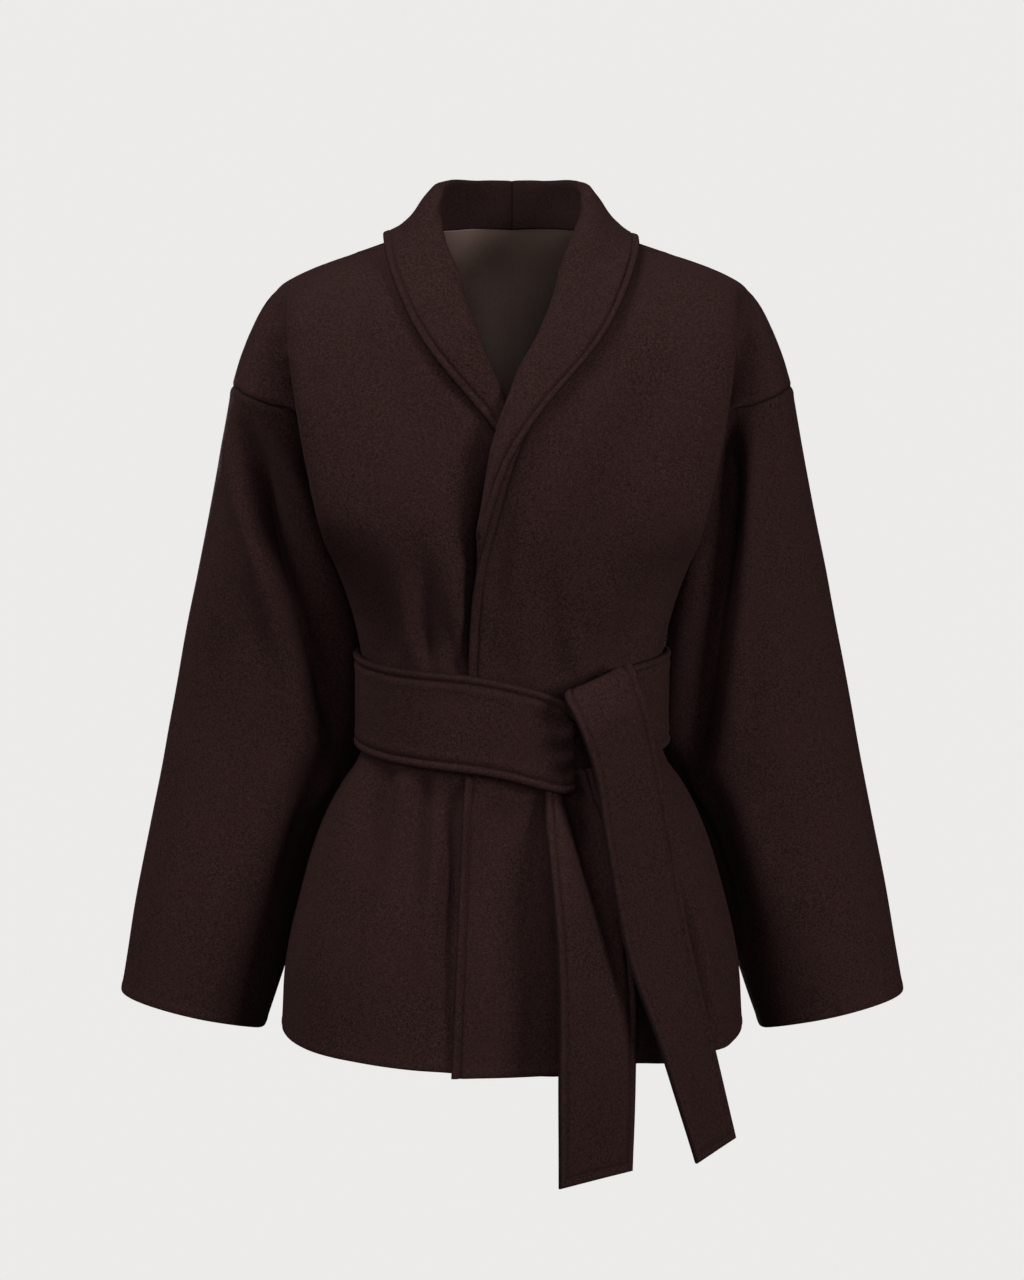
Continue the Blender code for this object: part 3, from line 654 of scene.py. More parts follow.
# How the cuffs, the end of the left lapel and the lining lie
CUFF_REACH = 0.070
CUFF_DROP = 0.006
CUFF_OUTER_DROP = 0.007
CUFF_SHIFT = 0.003
BODY_FOLD_SHARPNESS = 10
FAR_FOLD_SHARPNESS = 4
COLLAR_MERGE = 0.036
MERGE_SHRINK = 0.95
MERGE_THINNING = 0.85
HIDDEN_INSET = 0.0015
LINING_FORWARD = 0.0026
LINING_FORWARD_ROWS = 2
LINING_RISE = 0.0025

# How far apart the points of each kind of piece are
PANEL_STEP = 0.0048
SLEEVE_STEP = 0.0054
COLLAR_STEP = 0.0030
BELT_STEP = 0.0032
LINING_STEP = 0.0045
RING_OVERLAP = 3

# Creases and slow swells
SWELL_HEIGHT = 0.0009
SWELL_ACROSS = 0.075
CREASE_FADE_IN = 0.2
CREASE_FADE_OUT = 0.75
CREASE_NARROWEST = 0.8
CREASE_SPREAD = 0.8
CREASE_FACING = 2.5
RIDGE_PLACE = 2.1
RIDGE_SHARE = 0.35

Crease = namedtuple("Crease", "x_start z_start x_end z_end bow width depth")
FRONT_CREASES = by_row(Crease, (
    (-69, -372, -86, -225, 4, 8, -9),
    (-45, -380, -56, -285, -2, 5.5, -6),
    (-102, -368, -122, -270, 3, 11, -6),
    (38, -392, 16, -240, 6, 12, -7.5),
    (78, -374, 60, -290, -4, 8, -5),
    (92, -372, 122, -255, -4, 11, -6.5),
    (-77, -440, -88, -590, -4, 9.5, -9),
    (-58, -448, -52, -545, 2, 6.5, -6),
    (-106, -438, -132, -575, -5, 12, -7.5),
    (-10, -462, -30, -600, 6, 12, -4),
    (6, -455, 0, -640, 3, 18, -3),
    (64, -462, 74, -630, 4, 13, -7),
    (128, -440, 148, -580, 4, 13, -6),
))
SLEEVE_CREASES = by_row(Crease, (
    (188, -136, 133, -590, -8, 10, -27),
    (-236, -150, -118, -610, -16, 12, -29),
    (168, -460, 222, -690, 6, 14, -11),
    (-166, -435, -216, -690, -6, 17, -15),
    (-262, -330, -276, -540, -6, 20, -2.6),
    (272, -300, 282, -520, 8, 22, -2.4),
))
UNDERLAP_CREASES = by_row(Crease, (
    (-38, -392, -6, -120, 2, 9, -16),
    (-47, -440, -58, -760, 0, 7.5, -10),
))
LOWER_TAIL_CREASES = by_row(Crease, (
    (41, -438, 100, -660, -4, 8.5, -14),
))
OVERLAP_CREASES = by_row(Crease, (
    (-16, -320, 10, -170, -4, 10, -5.5),
    (80, -510, 160, -1000, 0, 12, -22),
    (139.5, -545, 181, -780, 0, 5.2, -14.5),
))
BACK_CREASES = by_row(Crease, (
    (-74, -360, -90, -250, 4, 13, -6),
    (20, -362, 12, -270, -3, 12, -4.5),
    (82, -360, 94, -230, -4, 14, -6.2),
    (-28, -362, -36, -280, 2, 10, -3.8),
    (-80, -440, -94, -610, 5, 14, -7.4),
    (34, -440, 40, -570, 3, 12, -6),
    (92, -440, 110, -620, -4, 15, -7),
    (-20, -440, -26, -560, -2, 11, -4.8),
    (240, -300, 262, -520, 10, 22, -5),
    (-236, -310, -260, -500, -9, 24, -5.4),
))
LINING_FOLDS = by_row(Crease, (
    (-46, 20, -20, -300, 6, 14, -3),
    (4, 20, 10, -300, -8, 17, -2.6),
    (44, 20, 56, -300, 4, 13, -2.8),
))
BELT_CREASES = by_row(Crease, (
    (56, -412, 6, -402, 1, 6, -2.2),
    (56, -428, 16, -430, -2, 5, -1.8),
    (56, -446, 20, -456, -1, 6, -2),
    (-60, -386, -20, -400, 2, 9, -1),
))

# Finishes
FELT_CLUMP = 0.0017
FIBRE = 0.0009
NAP_PATCH = 0.045
LINT_SPACING = 0.016
SATIN_THREAD = 0.0012
WOOL_DARK = "#1b1210"
WOOL_LIGHT = "#3d2927"
WOOL_NAP = "#332121"
# The dark that painted shade lays over the wool in seams, along turned edges and on the collar's stand
WOOL_PAINTED_SHADE = "#150f0d"
WOOL_LINT = "#5d4a46"
WOOL_SHEEN = "#b98f88"
SATIN_DARK = "#6f5b53"
SATIN_LIGHT = "#877068"
THREAD_DARK = "#1a100f"
THREAD_LIGHT = "#2c1c1a"
STUDIO = "#ecebe9"


def line_lengths(line):
    steps = np.linalg.norm(np.diff(line[:, :3], axis=0), axis=1)
    return np.concatenate(([0.0], np.cumsum(steps)))


def along_lines(field, step):
    """Each line of points and what goes with them, read closely at both ends and evenly between."""
    lengths = [line_lengths(line) for line in field]
    count = round(np.mean([length[-1] for length in lengths]) / step)
    lines = []
    for length, line in zip(lengths, field):
        near = EDGE_STEPS * min(1.0, length[-1] / SHORT_LINE)
        middle = np.linspace(near[-1], length[-1] - near[-1], count + 1)
        places = np.concatenate((near[:-1], middle, length[-1] - near[-2::-1]))
        lines.append(through(length, line, places))
    return np.array(lines)


def around(field, step):
    """Each closed ring of points read evenly all the way round."""
    before = field[:, -1 - RING_OVERLAP : -1]
    after = field[:, 1 : 1 + RING_OVERLAP]
    padded = np.concatenate((before, field, after), axis=1)
    lengths = [line_lengths(line) for line in padded]
    ends = [(length[RING_OVERLAP], length[-1 - RING_OVERLAP]) for length in lengths]
    count = round(np.mean([end - start for start, end in ends]) / step)
    lines = []
    for length, line, (start, end) in zip(lengths, padded, ends):
        lines.append(through(length, line, np.linspace(start, end, count + 1)))
    return np.array(lines)


def refined(grid, out, step, tube=False):
    """A piece's solid form and facing with enough points for creases, edges and stitch lines."""
    field = np.concatenate((grid, out), axis=-1)
    field = around(field, step) if tube else along_lines(field, step)
    field = along_lines(field.transpose(1, 0, 2), step).transpose(1, 0, 2)
    return field[..., :3], unit(field[..., 3:])


def pressed(grid, out, creases, facing):
    """Points with soft creases on the side that faces -Y or +Y; each opens out as it leaves its start."""
    x = grid[..., 0]
    z = grid[..., 2]
    depth = np.zeros_like(x)
    for crease in creases:
        run_x = crease.x_end - crease.x_start
        run_z = crease.z_end - crease.z_start
        length = math.hypot(run_x, run_z)
        along = ((x - crease.x_start) * run_x + (z - crease.z_start) * run_z) / length**2
        across = ((x - crease.x_start) * run_z - (z - crease.z_start) * run_x) / length
        across = across - crease.bow * 4 * along * (1 - along)
        fade = ease(along / CREASE_FADE_IN) * ease((1 - along) / CREASE_FADE_OUT)
        width = crease.width * (CREASE_NARROWEST + CREASE_SPREAD * np.clip(along, 0, 1))
        trough = np.exp(-((across / width) ** 2))
        ridges = np.exp(-(((abs(across) - RIDGE_PLACE * width) / width) ** 2))
        depth += crease.depth * fade * (trough - RIDGE_SHARE * ridges)
    return grid + out * (depth * ease(out[..., 1] * facing * CREASE_FACING))[..., None]


def uneven(grid, out):
    """Cloth is never quite even: slow swells a few tenths of a millimetre high."""
    swell = [noise.noise(Vector(point) / SWELL_ACROSS) for point in grid.reshape(-1, 3)]
    return grid + out * (SWELL_HEIGHT * np.array(swell)).reshape(grid.shape[:2])[..., None]


def from_side(grid, side):
    """How far each point lies from a side of the piece, along the cloth."""
    axis = 0 if side in ("top", "bottom") else 1
    steps = np.linalg.norm(np.diff(grid, axis=axis), axis=-1)
    gone = np.insert(np.cumsum(steps, axis=axis), 0, 0.0, axis=axis)
    if side in ("bottom", "last"):
        return np.take(gone, [-1], axis=axis) - gone
    return gone


def hump(away, centre, reach):
    return np.exp(-(((away - centre) / reach) ** 2))


def cloth_faces(grid, out, thickness, edges, away, worked):
    """The outer and inner points of a piece, with its edges worked and its free ones rounded."""
    raised = np.zeros(grid.shape[:2])
    rounding = np.zeros(grid.shape[:2])
    for edge in dict.fromkeys(edges.values()):
        nearest = np.min([away[side] for side in edges if edges[side] is edge], axis=0)
        for relief in edge:
            raised = raised + worked * relief.height * hump(nearest, relief.centre, relief.reach)
        if edge is not PRESSED_SEAM:
            inside = np.clip(2 * nearest / thickness, 0, 1)
            curve = 1 - np.sqrt(1 - (1 - inside) ** 2)
            rounding = np.maximum(rounding, EDGE_ROUNDING * thickness * curve)
    outer = grid + out * (raised - rounding)[..., None]
    inner = grid + out * (rounding - thickness)[..., None]
    return outer, inner


def painted_edge_and_seam_shade(edges, away):
    """Painted shade in each pressed seam and along each turned edge, from 0 to 1."""
    painted_shade = np.zeros_like(away["top"])
    for side, edge in edges.items():
        if edge is PRESSED_SEAM:
            painted_shade = np.maximum(painted_shade, hump(away[side], 0.0, SEAM_PAINTED_SHADE_WIDTH))
        if edge is TURNED_EDGE:
            painted_shade = np.maximum(painted_shade, EDGE_PAINTED_SHADE_DARKNESS * hump(away[side], 0.0, EDGE_PAINTED_SHADE_WIDTH))
    return painted_shade


def run_out(grid, edge_line):
    """A lapel whose last stretch shrinks into the cloth of the front edge, and how far it has shrunk."""
    share = ease(1 - from_side(grid, "bottom") / COLLAR_MERGE)
    target = through(-edge_line[:, 2], edge_line, -grid[..., 2].ravel()).reshape(grid.shape)
    return target + (grid - target) * (1 - MERGE_SHRINK * share[..., None]), share


def with_allowance(outer, inner, out):
    """A tube whose top runs on inside the piece it is sewn to, as its seam allowance does."""
    upward = unit(outer[0] - outer[1]) * SEAM_ALLOWANCE
    under = outer[0] + upward - out[0] * (CLOTH_WALL + LAYER_GAP)
    deeper = under - out[0] * LINING_WALL
    return np.concatenate((under[None], outer)), np.concatenate((deeper[None], inner))


def wall(name, outer, inner, painted_shade, material, tube=False):
    """A closed sheet of cloth between two grids of points. A tube's first and last columns are one."""
    rows, columns = outer.shape[:2]
    bm = bmesh.new()
    place = bm.verts.layers.int.new("place")
    # Each vertex carries its painted shade, which the wool's finish reads to darken its colour.
    painted_shade_layer = bm.verts.layers.float.new("painted_shade_mask")
    bmesh.ops.create_grid(bm, x_segments=columns - 1, y_segments=rows - 1, size=1)
    flat_outer = outer.reshape(-1, 3)
    flat_inner = inner.reshape(-1, 3)
    for i, vert in enumerate(bm.verts):
        vert[place] = i
        vert[painted_shade_layer] = painted_shade.flat[i]
        vert.co = flat_outer[i]
    if tube:
        bmesh.ops.remove_doubles(bm, verts=bm.verts, dist=WELD_DISTANCE)
    made = bmesh.ops.extrude_face_region(bm, geom=bm.faces[:])
    for part in made["geom"]:
        if isinstance(part, bmesh.types.BMVert):
            part.co = flat_inner[part[place]]
    bm.verts.layers.int.remove(place)
    bmesh.ops.recalc_face_normals(bm, faces=bm.faces)
    return to_object(name, bm, material)


def to_object(name, bm, material):
    mesh = bpy.data.meshes.new(name)
    bm.to_mesh(mesh)
    bm.free()
    mesh.materials.append(material)
    mesh.polygons.foreach_set("use_smooth", [True] * len(mesh.polygons))
    obj = bpy.data.objects.new(name, mesh)
    bpy.context.scene.collection.objects.link(obj)
    return obj


def stitched(name, lines, material):
    """Topstitching: a short flat stitch every few millimetres along each line of points and normals."""
    bm = bmesh.new()
    for points, facing in lines:
        length = line_lengths(points)
        starts = np.arange(STITCH_PITCH / 2, length[-1] - STITCH_PITCH / 2, STITCH_PITCH)
        middle = through(length, np.concatenate((points, facing), axis=1), starts)
        ahead = through(length, points, starts + STITCH_LENGTH / 4)
        for spot, along in zip(middle, ahead - middle[:, :3]):
            along = Vector(along).normalized()
            up = Vector(spot[3:]).normalized()
            beside = up.cross(along).normalized()
            size = Matrix.Diagonal((STITCH_LENGTH / 2, STITCH_WIDTH / 2, STITCH_HEIGHT / 2, 1))
            turn = Matrix((along, beside, along.cross(beside))).transposed().to_4x4()
            place = Matrix.Translation(spot[:3]) @ turn @ size
            bmesh.ops.create_icosphere(bm, subdivisions=1, radius=1, matrix=place)
    return to_object(name, bm, material)


def stitch_line(outer, out, side, sewn):
    """The line of points a stitch inset in from a side, up to the line it meets at a sewn corner."""
    start = {True: STITCH_LINE, False: 0}
    end = {True: -STITCH_LINE, False: None}
    rows = slice(start["top" in sewn], end["bottom" in sewn])
    columns = slice(start["first" in sewn], end["last" in sewn])
    line = {"first": np.s_[rows, STITCH_LINE], "last": np.s_[rows, -1 - STITCH_LINE]}
    line.update({"top": np.s_[STITCH_LINE, columns], "bottom": np.s_[-1 - STITCH_LINE, columns]})
    return outer[line[side]], out[line[side]]


def linear(hex_colour):
    """An sRGB hex colour as linear red, green, blue and full alpha."""
    parts = [int(hex_colour[i : i + 2], 16) / 255 for i in (1, 3, 5)]
    return [p / 12.92 if p <= 0.04045 else ((p + 0.055) / 1.055) ** 2.4 for p in parts] + [1.0]


def set_inputs(tree, node, inputs):
    """Links or sets each input of a node that is given."""
    for key, value in inputs.items():
        if isinstance(value, bpy.types.NodeSocket):
            tree.links.new(value, node.inputs[key])
        else:
            node.inputs[key].default_value = value


def add_node(tree, kind, inputs, **settings):
    """Adds a node, sets its settings and links or sets its inputs."""
    node = tree.nodes.new(kind)
    for key, value in settings.items():
        setattr(node, key, value)
    set_inputs(tree, node, inputs)
    return node


def new_finish(name):
    material = bpy.data.materials.new(name)
    material.use_nodes = True
    tree = material.node_tree
    return material, tree, tree.nodes["Principled BSDF"]


def wool_melton():
    """Milled wool coating: no weave shows, the fibres are felted into a matt, slightly mottled nap.

    Fibres of a few hundredths of a millimetre are drawn as clumps of about 1 and 2 mm so that they show.
    """
    material, tree, shader = new_finish("felted_wool_melton")
    place = add_node(tree, "ShaderNodeTexCoord", {}).outputs["Object"]
    clumps, fibres, patches = (
        add_node(tree, "ShaderNodeTexNoise", {"Vector": place, "Scale": 1 / size, "Detail": detail})
        for size, detail in ((FELT_CLUMP, 2.0), (FIBRE, 3.0), (NAP_PATCH, 1.0))
    )
    lint = add_node(tree, "ShaderNodeTexVoronoi", {"Vector": place, "Scale": 1 / LINT_SPACING})
    painted_shade_node = add_node(tree, "ShaderNodeAttribute", {}, attribute_name="painted_shade_mask")
    grain = add_node(
        tree, "ShaderNodeMath",
        {0: clumps.outputs["Fac"], 1: fibres.outputs["Fac"]}, operation="ADD",
    )
    spread = add_node(
        tree, "ShaderNodeMapRange",
        {"Value": grain.outputs[0], "From Min": 0.74, "From Max": 1.26},
    )
    worn = add_node(
        tree, "ShaderNodeMapRange",
        {"Value": patches.outputs["Fac"], "From Min": 0.3, "From Max": 0.7, "To Min": 0.0, "To Max": 0.35},
    )
    specks = add_node(
        tree, "ShaderNodeMapRange",
        {"Value": lint.outputs["Distance"], "From Min": 0.045, "From Max": 0.02, "To Max": 0.5},
    )
    # Grain, patches of nap and lint make the wool's own colour; the last layer is painted shade from a
    # vertex attribute, dark in seams, along turned edges and on the collar's stand.
    colour = linear(WOOL_DARK)
    for amount, laid_over in (
        (spread.outputs[0], WOOL_LIGHT),
        (worn.outputs[0], WOOL_NAP),
        (specks.outputs[0], WOOL_LINT),
        (painted_shade_node.outputs["Fac"], WOOL_PAINTED_SHADE),
    ):
        layer = add_node(
            tree, "ShaderNodeMix",
            {"Factor": amount, "A": colour, "B": linear(laid_over)}, data_type="RGBA",
        )
        colour = layer.outputs["Result"]
    bump = add_node(
        tree, "ShaderNodeBump",
        {"Height": grain.outputs[0], "Strength": 0.45, "Distance": 0.0006},
    )
    set_inputs(tree, shader, {
        "Base Color": colour, "Normal": bump.outputs["Normal"],
        "Roughness": 0.95, "Specular IOR Level": 0.05,
        "Sheen Weight": 0.03, "Sheen Roughness": 0.6, "Sheen Tint": linear(WOOL_SHEEN),
    })
    return material


def lining_satin():
    """Warp-faced satin lining: floating threads give it a soft broad shine along the folds."""
    material, tree, shader = new_finish("satin_lining")
    place = add_node(tree, "ShaderNodeTexCoord", {}).outputs["Object"]
    lengthwise = add_node(tree, "ShaderNodeMapping", {"Vector": place, "Scale": (1, 1, 0.06)})
    threads = add_node(
        tree, "ShaderNodeTexNoise",
        {"Vector": lengthwise.outputs[0], "Scale": 1 / SATIN_THREAD, "Detail": 2.0},
    )
    colour = add_node(
        tree, "ShaderNodeMix",
        {"Factor": threads.outputs["Fac"], "A": linear(SATIN_DARK), "B": linear(SATIN_LIGHT)},
        data_type="RGBA",
    )
    bump = add_node(
        tree, "ShaderNodeBump",
        {"Height": threads.outputs["Fac"], "Strength": 0.15, "Distance": 0.0002},
    )
    set_inputs(tree, shader, {
        "Base Color": colour.outputs["Result"], "Normal": bump.outputs["Normal"],
        "Roughness": 0.42, "Specular IOR Level": 0.35,
    })
    return material


def sewing_thread():
    """Spun polyester sewing thread in the colour of the cloth, a little smoother than the wool."""
    material, tree, shader = new_finish("sewing_thread")
    place = add_node(tree, "ShaderNodeTexCoord", {}).outputs["Object"]
    ply = add_node(tree, "ShaderNodeTexNoise", {"Vector": place, "Scale": 1 / STITCH_WIDTH, "Detail": 1.0})
    colour = add_node(
        tree, "ShaderNodeMix",
        {"Factor": ply.outputs["Fac"], "A": linear(THREAD_DARK), "B": linear(THREAD_LIGHT)},
        data_type="RGBA",
    )
    set_inputs(tree, shader, {
        "Base Color": colour.outputs["Result"], "Roughness": 0.7, "Specular IOR Level": 0.12,
    })
    return material


def studio_white():
    """The seamless pale studio sweep: an even white under soft light."""
    material, tree, shader = new_finish("studio_white")
    tree.nodes.remove(shader)
    glow = add_node(tree, "ShaderNodeEmission", {"Color": linear(STUDIO), "Strength": 1.0})
    tree.links.new(glow.outputs[0], tree.nodes["Material Output"].inputs["Surface"])
    return material


# The two fronts are both made on the +X side; the one underneath is mirrored when it is walled.
top_front = folded(front_grid(TOP_EDGE), -1)
under_front = folded(front_grid(UNDER_EDGE) * MIRROR, -1) * MIRROR
back_half = back_half_grid()
back_half[ARMHOLE_ROWS:, -1] = front_grid(TOP_EDGE)[ARMHOLE_ROWS:, -1]
back = np.concatenate(((back_half * MIRROR)[:, :0:-1], back_half), axis=1)
back = folded(back, 1)
half_back = back[:, BACK_COLUMNS:]
top_front[ARMHOLE_ROWS:, -1] = back[ARMHOLE_ROWS:, -1]
under_front[ARMHOLE_ROWS:, -1] = back[ARMHOLE_ROWS:, 0] * MIRROR
top_out = normals(top_front, -1)
under_out = normals(under_front, -1)
back_out = normals(back, 1)

# The sleeve starts on the armhole: down the front from the shoulder, then up the back.
upward = slice(ARMHOLE_ROWS - 1, None, -1)
front_arm = slice(0, ARMHOLE_ROWS + 1)
back_arm = slice(ARMHOLE_ROWS + 1, None)
sleeve = sleeve_grid(np.concatenate((top_front[front_arm, -1], back[upward, -1])))
sleeve[1:] = clear_of(sleeve[1:], (panel(top_front, -1), panel(half_back, 1)), SLEEVE_CLEARANCE)
sleeve[:, -1] = sleeve[:, 0]

# Near the cuff the sleeve lies flatter: both folds hang lower, and the body's one is further out.
body_side = sleeve[..., 0].min(axis=1, keepdims=True)
far_side = sleeve[..., 0].max(axis=1, keepdims=True)
outward = (sleeve[..., 0] - body_side) / (far_side - body_side)
near_cuff = ease(1 - from_side(sleeve, "bottom") / CUFF_REACH)
body_fold = near_cuff * (1 - outward) ** BODY_FOLD_SHARPNESS
far_fold = near_cuff * outward**FAR_FOLD_SHARPNESS
sleeve[..., 2] -= CUFF_DROP * body_fold + CUFF_OUTER_DROP * far_fold
sleeve[..., 0] += CUFF_SHIFT * body_fold
sleeve_out = tube_normals(sleeve)

# Pieces that meet in a seam turn their walls the same way along it.
side = slice(ARMHOLE_ROWS, None)
for front_out, column, turned in ((top_out, -1, PLAIN), (under_out, 0, MIRROR)):
    both = unit(front_out[side, -1] + back_out[side, column] * turned)
    front_out[side, -1] = both
    back_out[side, column] = both * turned
    front_out[front_arm, -1] = unit(front_out[front_arm, -1] + sleeve_out[0, front_arm])
    both = unit(back_out[upward, column] * turned + sleeve_out[0, back_arm])
    back_out[upward, column] = both * turned
    front_out[0, :, 1] = 0
    front_out[0] = unit(front_out[0])
sleeve_out[0, front_arm] = top_out[front_arm, -1]
sleeve_out[0, back_arm] = back_out[upward, -1]
neck_columns = int(np.argmin(abs(back_half[0, :, 0] - SHOULDER.x[0])))
shoulder = abs(np.arange(back.shape[1]) - BACK_COLUMNS) >= neck_columns
back_out[0, shoulder, 1] = 0
back_out[0] = unit(back_out[0])

# The end of the left lapel runs out into this line, just inside the cloth of the front edge.
inward = unit(top_front[:, 1] - top_front[:, 0])
hidden_edge = top_front[:, 0] + inward * HIDDEN_INSET - top_out[:, 0] * CLOTH_WALL / 2

wool = wool_melton()
satin = lining_satin()
thread = sewing_thread()

SEAMED = {"top": PRESSED_SEAM, "last": PRESSED_SEAM, "bottom": BLIND_HEM}
FRONT_EDGES = SEAMED | {"first": TURNED_EDGE}
BACK_EDGES = SEAMED | {"first": PRESSED_SEAM}
SLEEVE_EDGES = {"top": PRESSED_SEAM, "bottom": BLIND_HEM}
COLLAR_EDGES = {"top": PRESSED_SEAM, "last": TURNED_EDGE, "bottom": PLAIN_EDGE, "first": PLAIN_EDGE}
BAND_EDGES = {"top": TURNED_EDGE, "bottom": TURNED_EDGE, "first": PLAIN_EDGE, "last": PLAIN_EDGE}
TAIL_EDGES = {"first": TURNED_EDGE, "last": TURNED_EDGE, "bottom": TURNED_EDGE, "top": PLAIN_EDGE}
LINING_EDGES = dict.fromkeys(("top", "bottom", "first", "last"), PLAIN_EDGE)
CREASES = {
    "back_lining": ((LINING_FOLDS, 1), (BACK_CREASES, 1)),
    "belt_band": ((BELT_CREASES, -1),),
    "belt_tail_lower": ((LOWER_TAIL_CREASES, -1),),
    "back": ((BACK_CREASES, 1),),
    "front_left": ((FRONT_CREASES, -1), (OVERLAP_CREASES, -1)),
    "front_right": ((FRONT_CREASES, -1), (UNDERLAP_CREASES, -1)),
    "sleeve_left": ((SLEEVE_CREASES, -1), (BACK_CREASES, 1)),
    "sleeve_right": ((SLEEVE_CREASES, -1), (BACK_CREASES, 1)),
}

Cut = namedtuple("Cut", "width length area held rests_on")


def piece(
    node, grid, out, step, thickness, edges, cut,
    finish=wool, tube=False, sewn=(),
):
    """A cut piece in place of its solid, with the topstitching on its named sides."""
    grid, out = refined(grid, out, step, tube)
    for creases, facing in CREASES.get(node, ()):
        grid = pressed(grid, out, creases, facing)
    if node == "collar_left":
        grid, share = run_out(grid, hidden_edge)
        thickness = thickness * (1 - MERGE_THINNING * share)
    grid = uneven(grid, out)
    away = {side: from_side(grid, side) for side in edges}
    if node.startswith("front"):
        beyond = (abs(grid[..., 0]) - SEAM_FORWARD_UNTIL) / SEAM_FORWARD_FADE
        away["top"] = away["top"] - SEAM_FORWARD * (1 - ease(beyond))
    worked = 1.0
    if node.startswith("collar"):
        worked = 1 - (1 - NECK_EDGE_SHARE) * ease((grid[..., 1] - NECK_EDGE_FROM) / NECK_EDGE_REACH)
    outer, inner = cloth_faces(grid, out, thickness, edges, away, worked)
    # Painted shade: dark lines in the seams and along the turned edges, and a darker collar stand behind
    # the neck where it faces forward.
    painted_shade = painted_edge_and_seam_shade(edges, away)
    if node.startswith("collar"):
        stand_painted_shade = ease(grid[..., 1] / STAND_REACH) * ease(-STAND_FACING * out[..., 1])
        painted_shade = np.maximum(painted_shade, STAND_PAINTED_SHADE * stand_painted_shade)
    sewn_lines = [stitch_line(outer, out, side, sewn) for side in sewn]
    if tube:
        outer[:, -1] = outer[:, 0]
        inner[:, -1] = inner[:, 0]
        outer, inner = with_allowance(outer, inner, out)
        painted_shade = np.concatenate((painted_shade[:1], painted_shade))
    made = wall(node + "_cloth", outer, inner, painted_shade, finish, tube)
    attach(made, "root")
    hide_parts(node)
    stitching = []
    if sewn:
        stitching = [stitched(node + "_topstitching", sewn_lines, thread)]
        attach(stitching[0], "root")


FRONT_CUT = Cut(0.33, 0.73, 0.188, "hung", ["back", "sleeve_left"])
BACK_CUT = Cut(0.60, 0.72, 0.333, "hung", ["front_left", "front_right"])
SLEEVE_CUT = Cut(0.50, 0.52, 0.240, "hung", ["front_left", "back"])
BAND_CUT = Cut(BELT_WIDTH, 0.86, 0.066, "folded", ["front_left", "front_right", "back"])
UPPER_TAIL_CUT = Cut(BELT_WIDTH, 0.46, 0.0375, "hung", ["belt_band"])
LOWER_TAIL_CUT = Cut(BELT_WIDTH, 0.36, 0.0255, "hung", ["belt_band"])
COLLAR_CUT = Cut(0.16, 0.46, 0.038, "folded", ["back", "front_left"])
LINING_CUT = Cut(0.42, 0.36, 0.121, "hung", ["back"])

piece("front_left", top_front, top_out, PANEL_STEP, CLOTH_WALL, FRONT_EDGES, FRONT_CUT, sewn=("first",))
piece(
    "front_right", under_front * MIRROR, under_out * MIRROR, PANEL_STEP, CLOTH_WALL, FRONT_EDGES,
    FRONT_CUT._replace(rests_on=["back", "sleeve_right"]), sewn=("first",),
)
piece("back", back, back_out, PANEL_STEP, CLOTH_WALL, BACK_EDGES, BACK_CUT)
piece("sleeve_left", sleeve, sleeve_out, SLEEVE_STEP, CLOTH_WALL, SLEEVE_EDGES, SLEEVE_CUT, tube=True)
piece(
    "sleeve_right", sleeve * MIRROR, sleeve_out * MIRROR, SLEEVE_STEP, CLOTH_WALL, SLEEVE_EDGES,
    SLEEVE_CUT._replace(rests_on=["front_right", "back"]), tube=True,
)

# The belt: the band round the waist and the two ends that hang from its half knot.
band, band_out = band_grid()
piece("belt_band", band, band_out, BELT_STEP, BELT_WALL, BAND_EDGES, BAND_CUT, sewn=("top", "bottom"))
for node, table, cut in (
    ("belt_tail_upper", UPPER_TAIL, UPPER_TAIL_CUT),
    ("belt_tail_lower", LOWER_TAIL, LOWER_TAIL_CUT),
):
    strip, strip_out = strip_grid(table)
    shown = strip - strip_out * BELT_WALL
    piece(node, shown, -strip_out, BELT_STEP, BELT_WALL, TAIL_EDGES, cut, sewn=("first", "last", "bottom"))

# The shawl collar: two halves with a seam at the centre back, lying on the fronts and the back.
falling = slice(COLLAR_COLUMNS // 2, None)
for node, lapel, front, front_out, turned in (
    ("collar_left", TOP_LAPEL, top_front, top_out, PLAIN),
    ("collar_right", UNDER_LAPEL, under_front, under_out, MIRROR),
):
    collar = collar_grid(lapel, front, front_out, half_back, back_out[:, BACK_COLUMNS:])
    below = (panel(front, -1), panel(half_back, 1))
    for _ in range(SMOOTHING_ROUNDS):
        fall = collar[:, falling]
        fall[1:-1] = (fall[:-2] + 2 * fall[1:-1] + fall[2:]) / 4
        collar[:, falling] = clear_of(fall, below, LAYER_GAP + COLLAR_WALL)
    collar_out = -normals(collar, 1)
    collar_out[0, :, 0] = 0
    collar_out[0] = unit(collar_out[0])
    shown = collar + collar_out * COLLAR_WALL
    shown[0, :, 0] = 0
    piece(
        node, shown * turned, collar_out * turned, COLLAR_STEP, COLLAR_WALL, COLLAR_EDGES,
        COLLAR_CUT, sewn=("last",),
    )

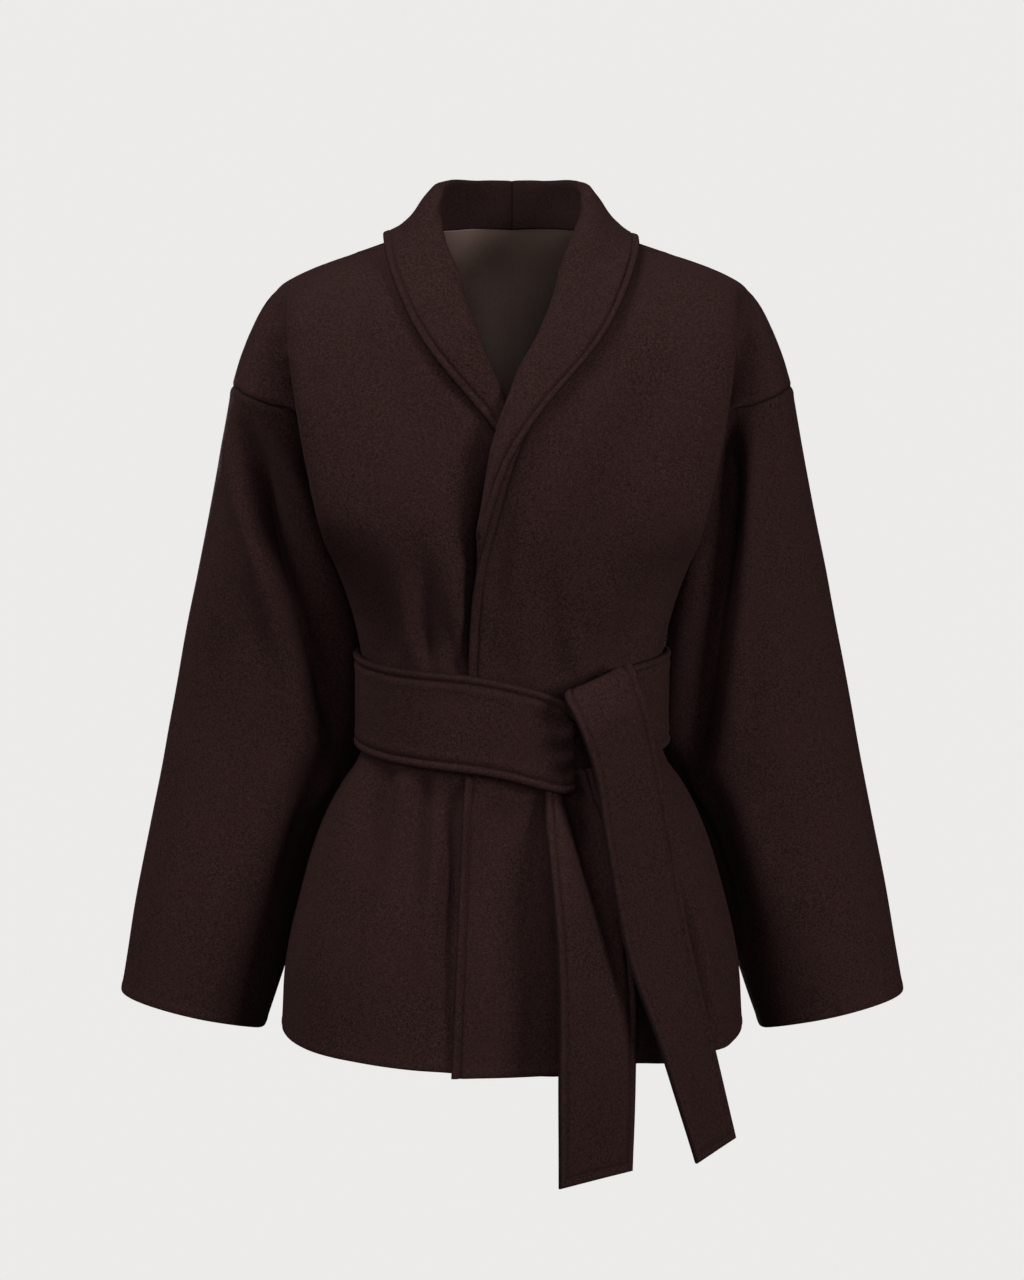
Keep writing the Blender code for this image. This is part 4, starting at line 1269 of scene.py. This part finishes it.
# The satin that shows inside the neck is sewn in under the collar and hangs just inside the back.
rows = np.concatenate(([LINING_TOP_ROW], np.arange(1, ARMHOLE_ROWS + 2)))
across = slice(LINING_FIRST_COLUMN, 2 * BACK_COLUMNS - LINING_FIRST_COLUMN + 1)
gap = np.where(rows < 1, 2 * SEAM_GAP, LINING_GAP)[:, None, None]
ahead = (rows % 1)[:, None, None]
row = rows.astype(int)
lining = back[row, across] * (1 - ahead) + back[row + 1, across] * ahead
lining_out = unit(back_out[row, across] * (1 - ahead) + back_out[row + 1, across] * ahead)
forward = LINING_FORWARD * ease(1 - rows / LINING_FORWARD_ROWS)[:, None, None]
lining = lining - lining_out * (CLOTH_WALL + gap + forward)
lining[0, :, 2] += LINING_RISE
piece(
    "back_lining", lining, lining_out, LINING_STEP, LINING_WALL, LINING_EDGES,
    LINING_CUT, finish=satin,
)

# A pale floor well below the hem. It shows to the camera and casts no light of its own on the coat.
FLOOR_HEIGHT = -1.10
FLOOR_REACH = 12
bm = bmesh.new()
bmesh.ops.create_grid(bm, x_segments=1, y_segments=1, size=FLOOR_REACH)
bmesh.ops.translate(bm, vec=(0, 0, FLOOR_HEIGHT), verts=bm.verts)
floor = to_object("studio_floor", bm, studio_white())
floor.visible_diffuse = False
floor.visible_glossy = False

# The room is as pale as the floor to look at, and gives a dim, even light.
ROOM_LIGHT = 0.02
world = bpy.data.worlds.new("studio")
bpy.context.scene.world = world
world.use_nodes = True
room = world.node_tree
seen = room.nodes["Background"]
seen.inputs["Color"].default_value = linear(STUDIO)
lit = add_node(room, "ShaderNodeBackground", {"Color": linear(STUDIO), "Strength": ROOM_LIGHT})
path = add_node(room, "ShaderNodeLightPath", {})
both = add_node(
    room, "ShaderNodeMixShader",
    {0: path.outputs["Is Camera Ray"], 1: lit.outputs[0], 2: seen.outputs[0]},
)
room.links.new(both.outputs[0], room.nodes["World Output"].inputs["Surface"])

Softbox = namedtuple("Softbox", "name place size watts")
SOFTBOXES = (
    Softbox("right_softbox", (2.0, -2.0, 0.25), 0.8, 43),
    Softbox("left_softbox", (-2.2, -1.8, 0.4), 2.0, 24),
    Softbox("top_softbox", (-1.3, -0.5, 2.3), 1.2, 49),
    Softbox("front_softbox", (0.2, -2.7, 0.10), 1.0, 11),
    Softbox("back_softbox", (-0.8, 2.8, -0.20), 0.6, 32),
)
TARGET = Vector((0, 0, -0.30))
for box in SOFTBOXES:
    lamp = bpy.data.lights.new(box.name, "AREA")
    lamp.size = box.size
    lamp.energy = box.watts
    light = bpy.data.objects.new(box.name, lamp)
    light.location = box.place
    light.rotation_euler = (TARGET - Vector(box.place)).to_track_quat("-Z", "Y").to_euler()
    bpy.context.scene.collection.objects.link(light)

CAMERA_PLACE = (0, -2.4, -0.10)
CAMERA_PITCH = math.radians(6.0)
SENSOR = 36.0
IMAGE_HEIGHT = 1280
FOCAL_PIXELS = 2774
lens = bpy.data.cameras.new("camera")
lens.sensor_width = SENSOR
lens.lens = SENSOR * FOCAL_PIXELS / IMAGE_HEIGHT
camera = bpy.data.objects.new("camera", lens)
camera.location = CAMERA_PLACE
camera.rotation_euler = (math.pi / 2 - CAMERA_PITCH, 0, 0)
bpy.context.scene.collection.objects.link(camera)
bpy.context.scene.camera = camera
bpy.context.scene.view_settings.view_transform = "Standard"
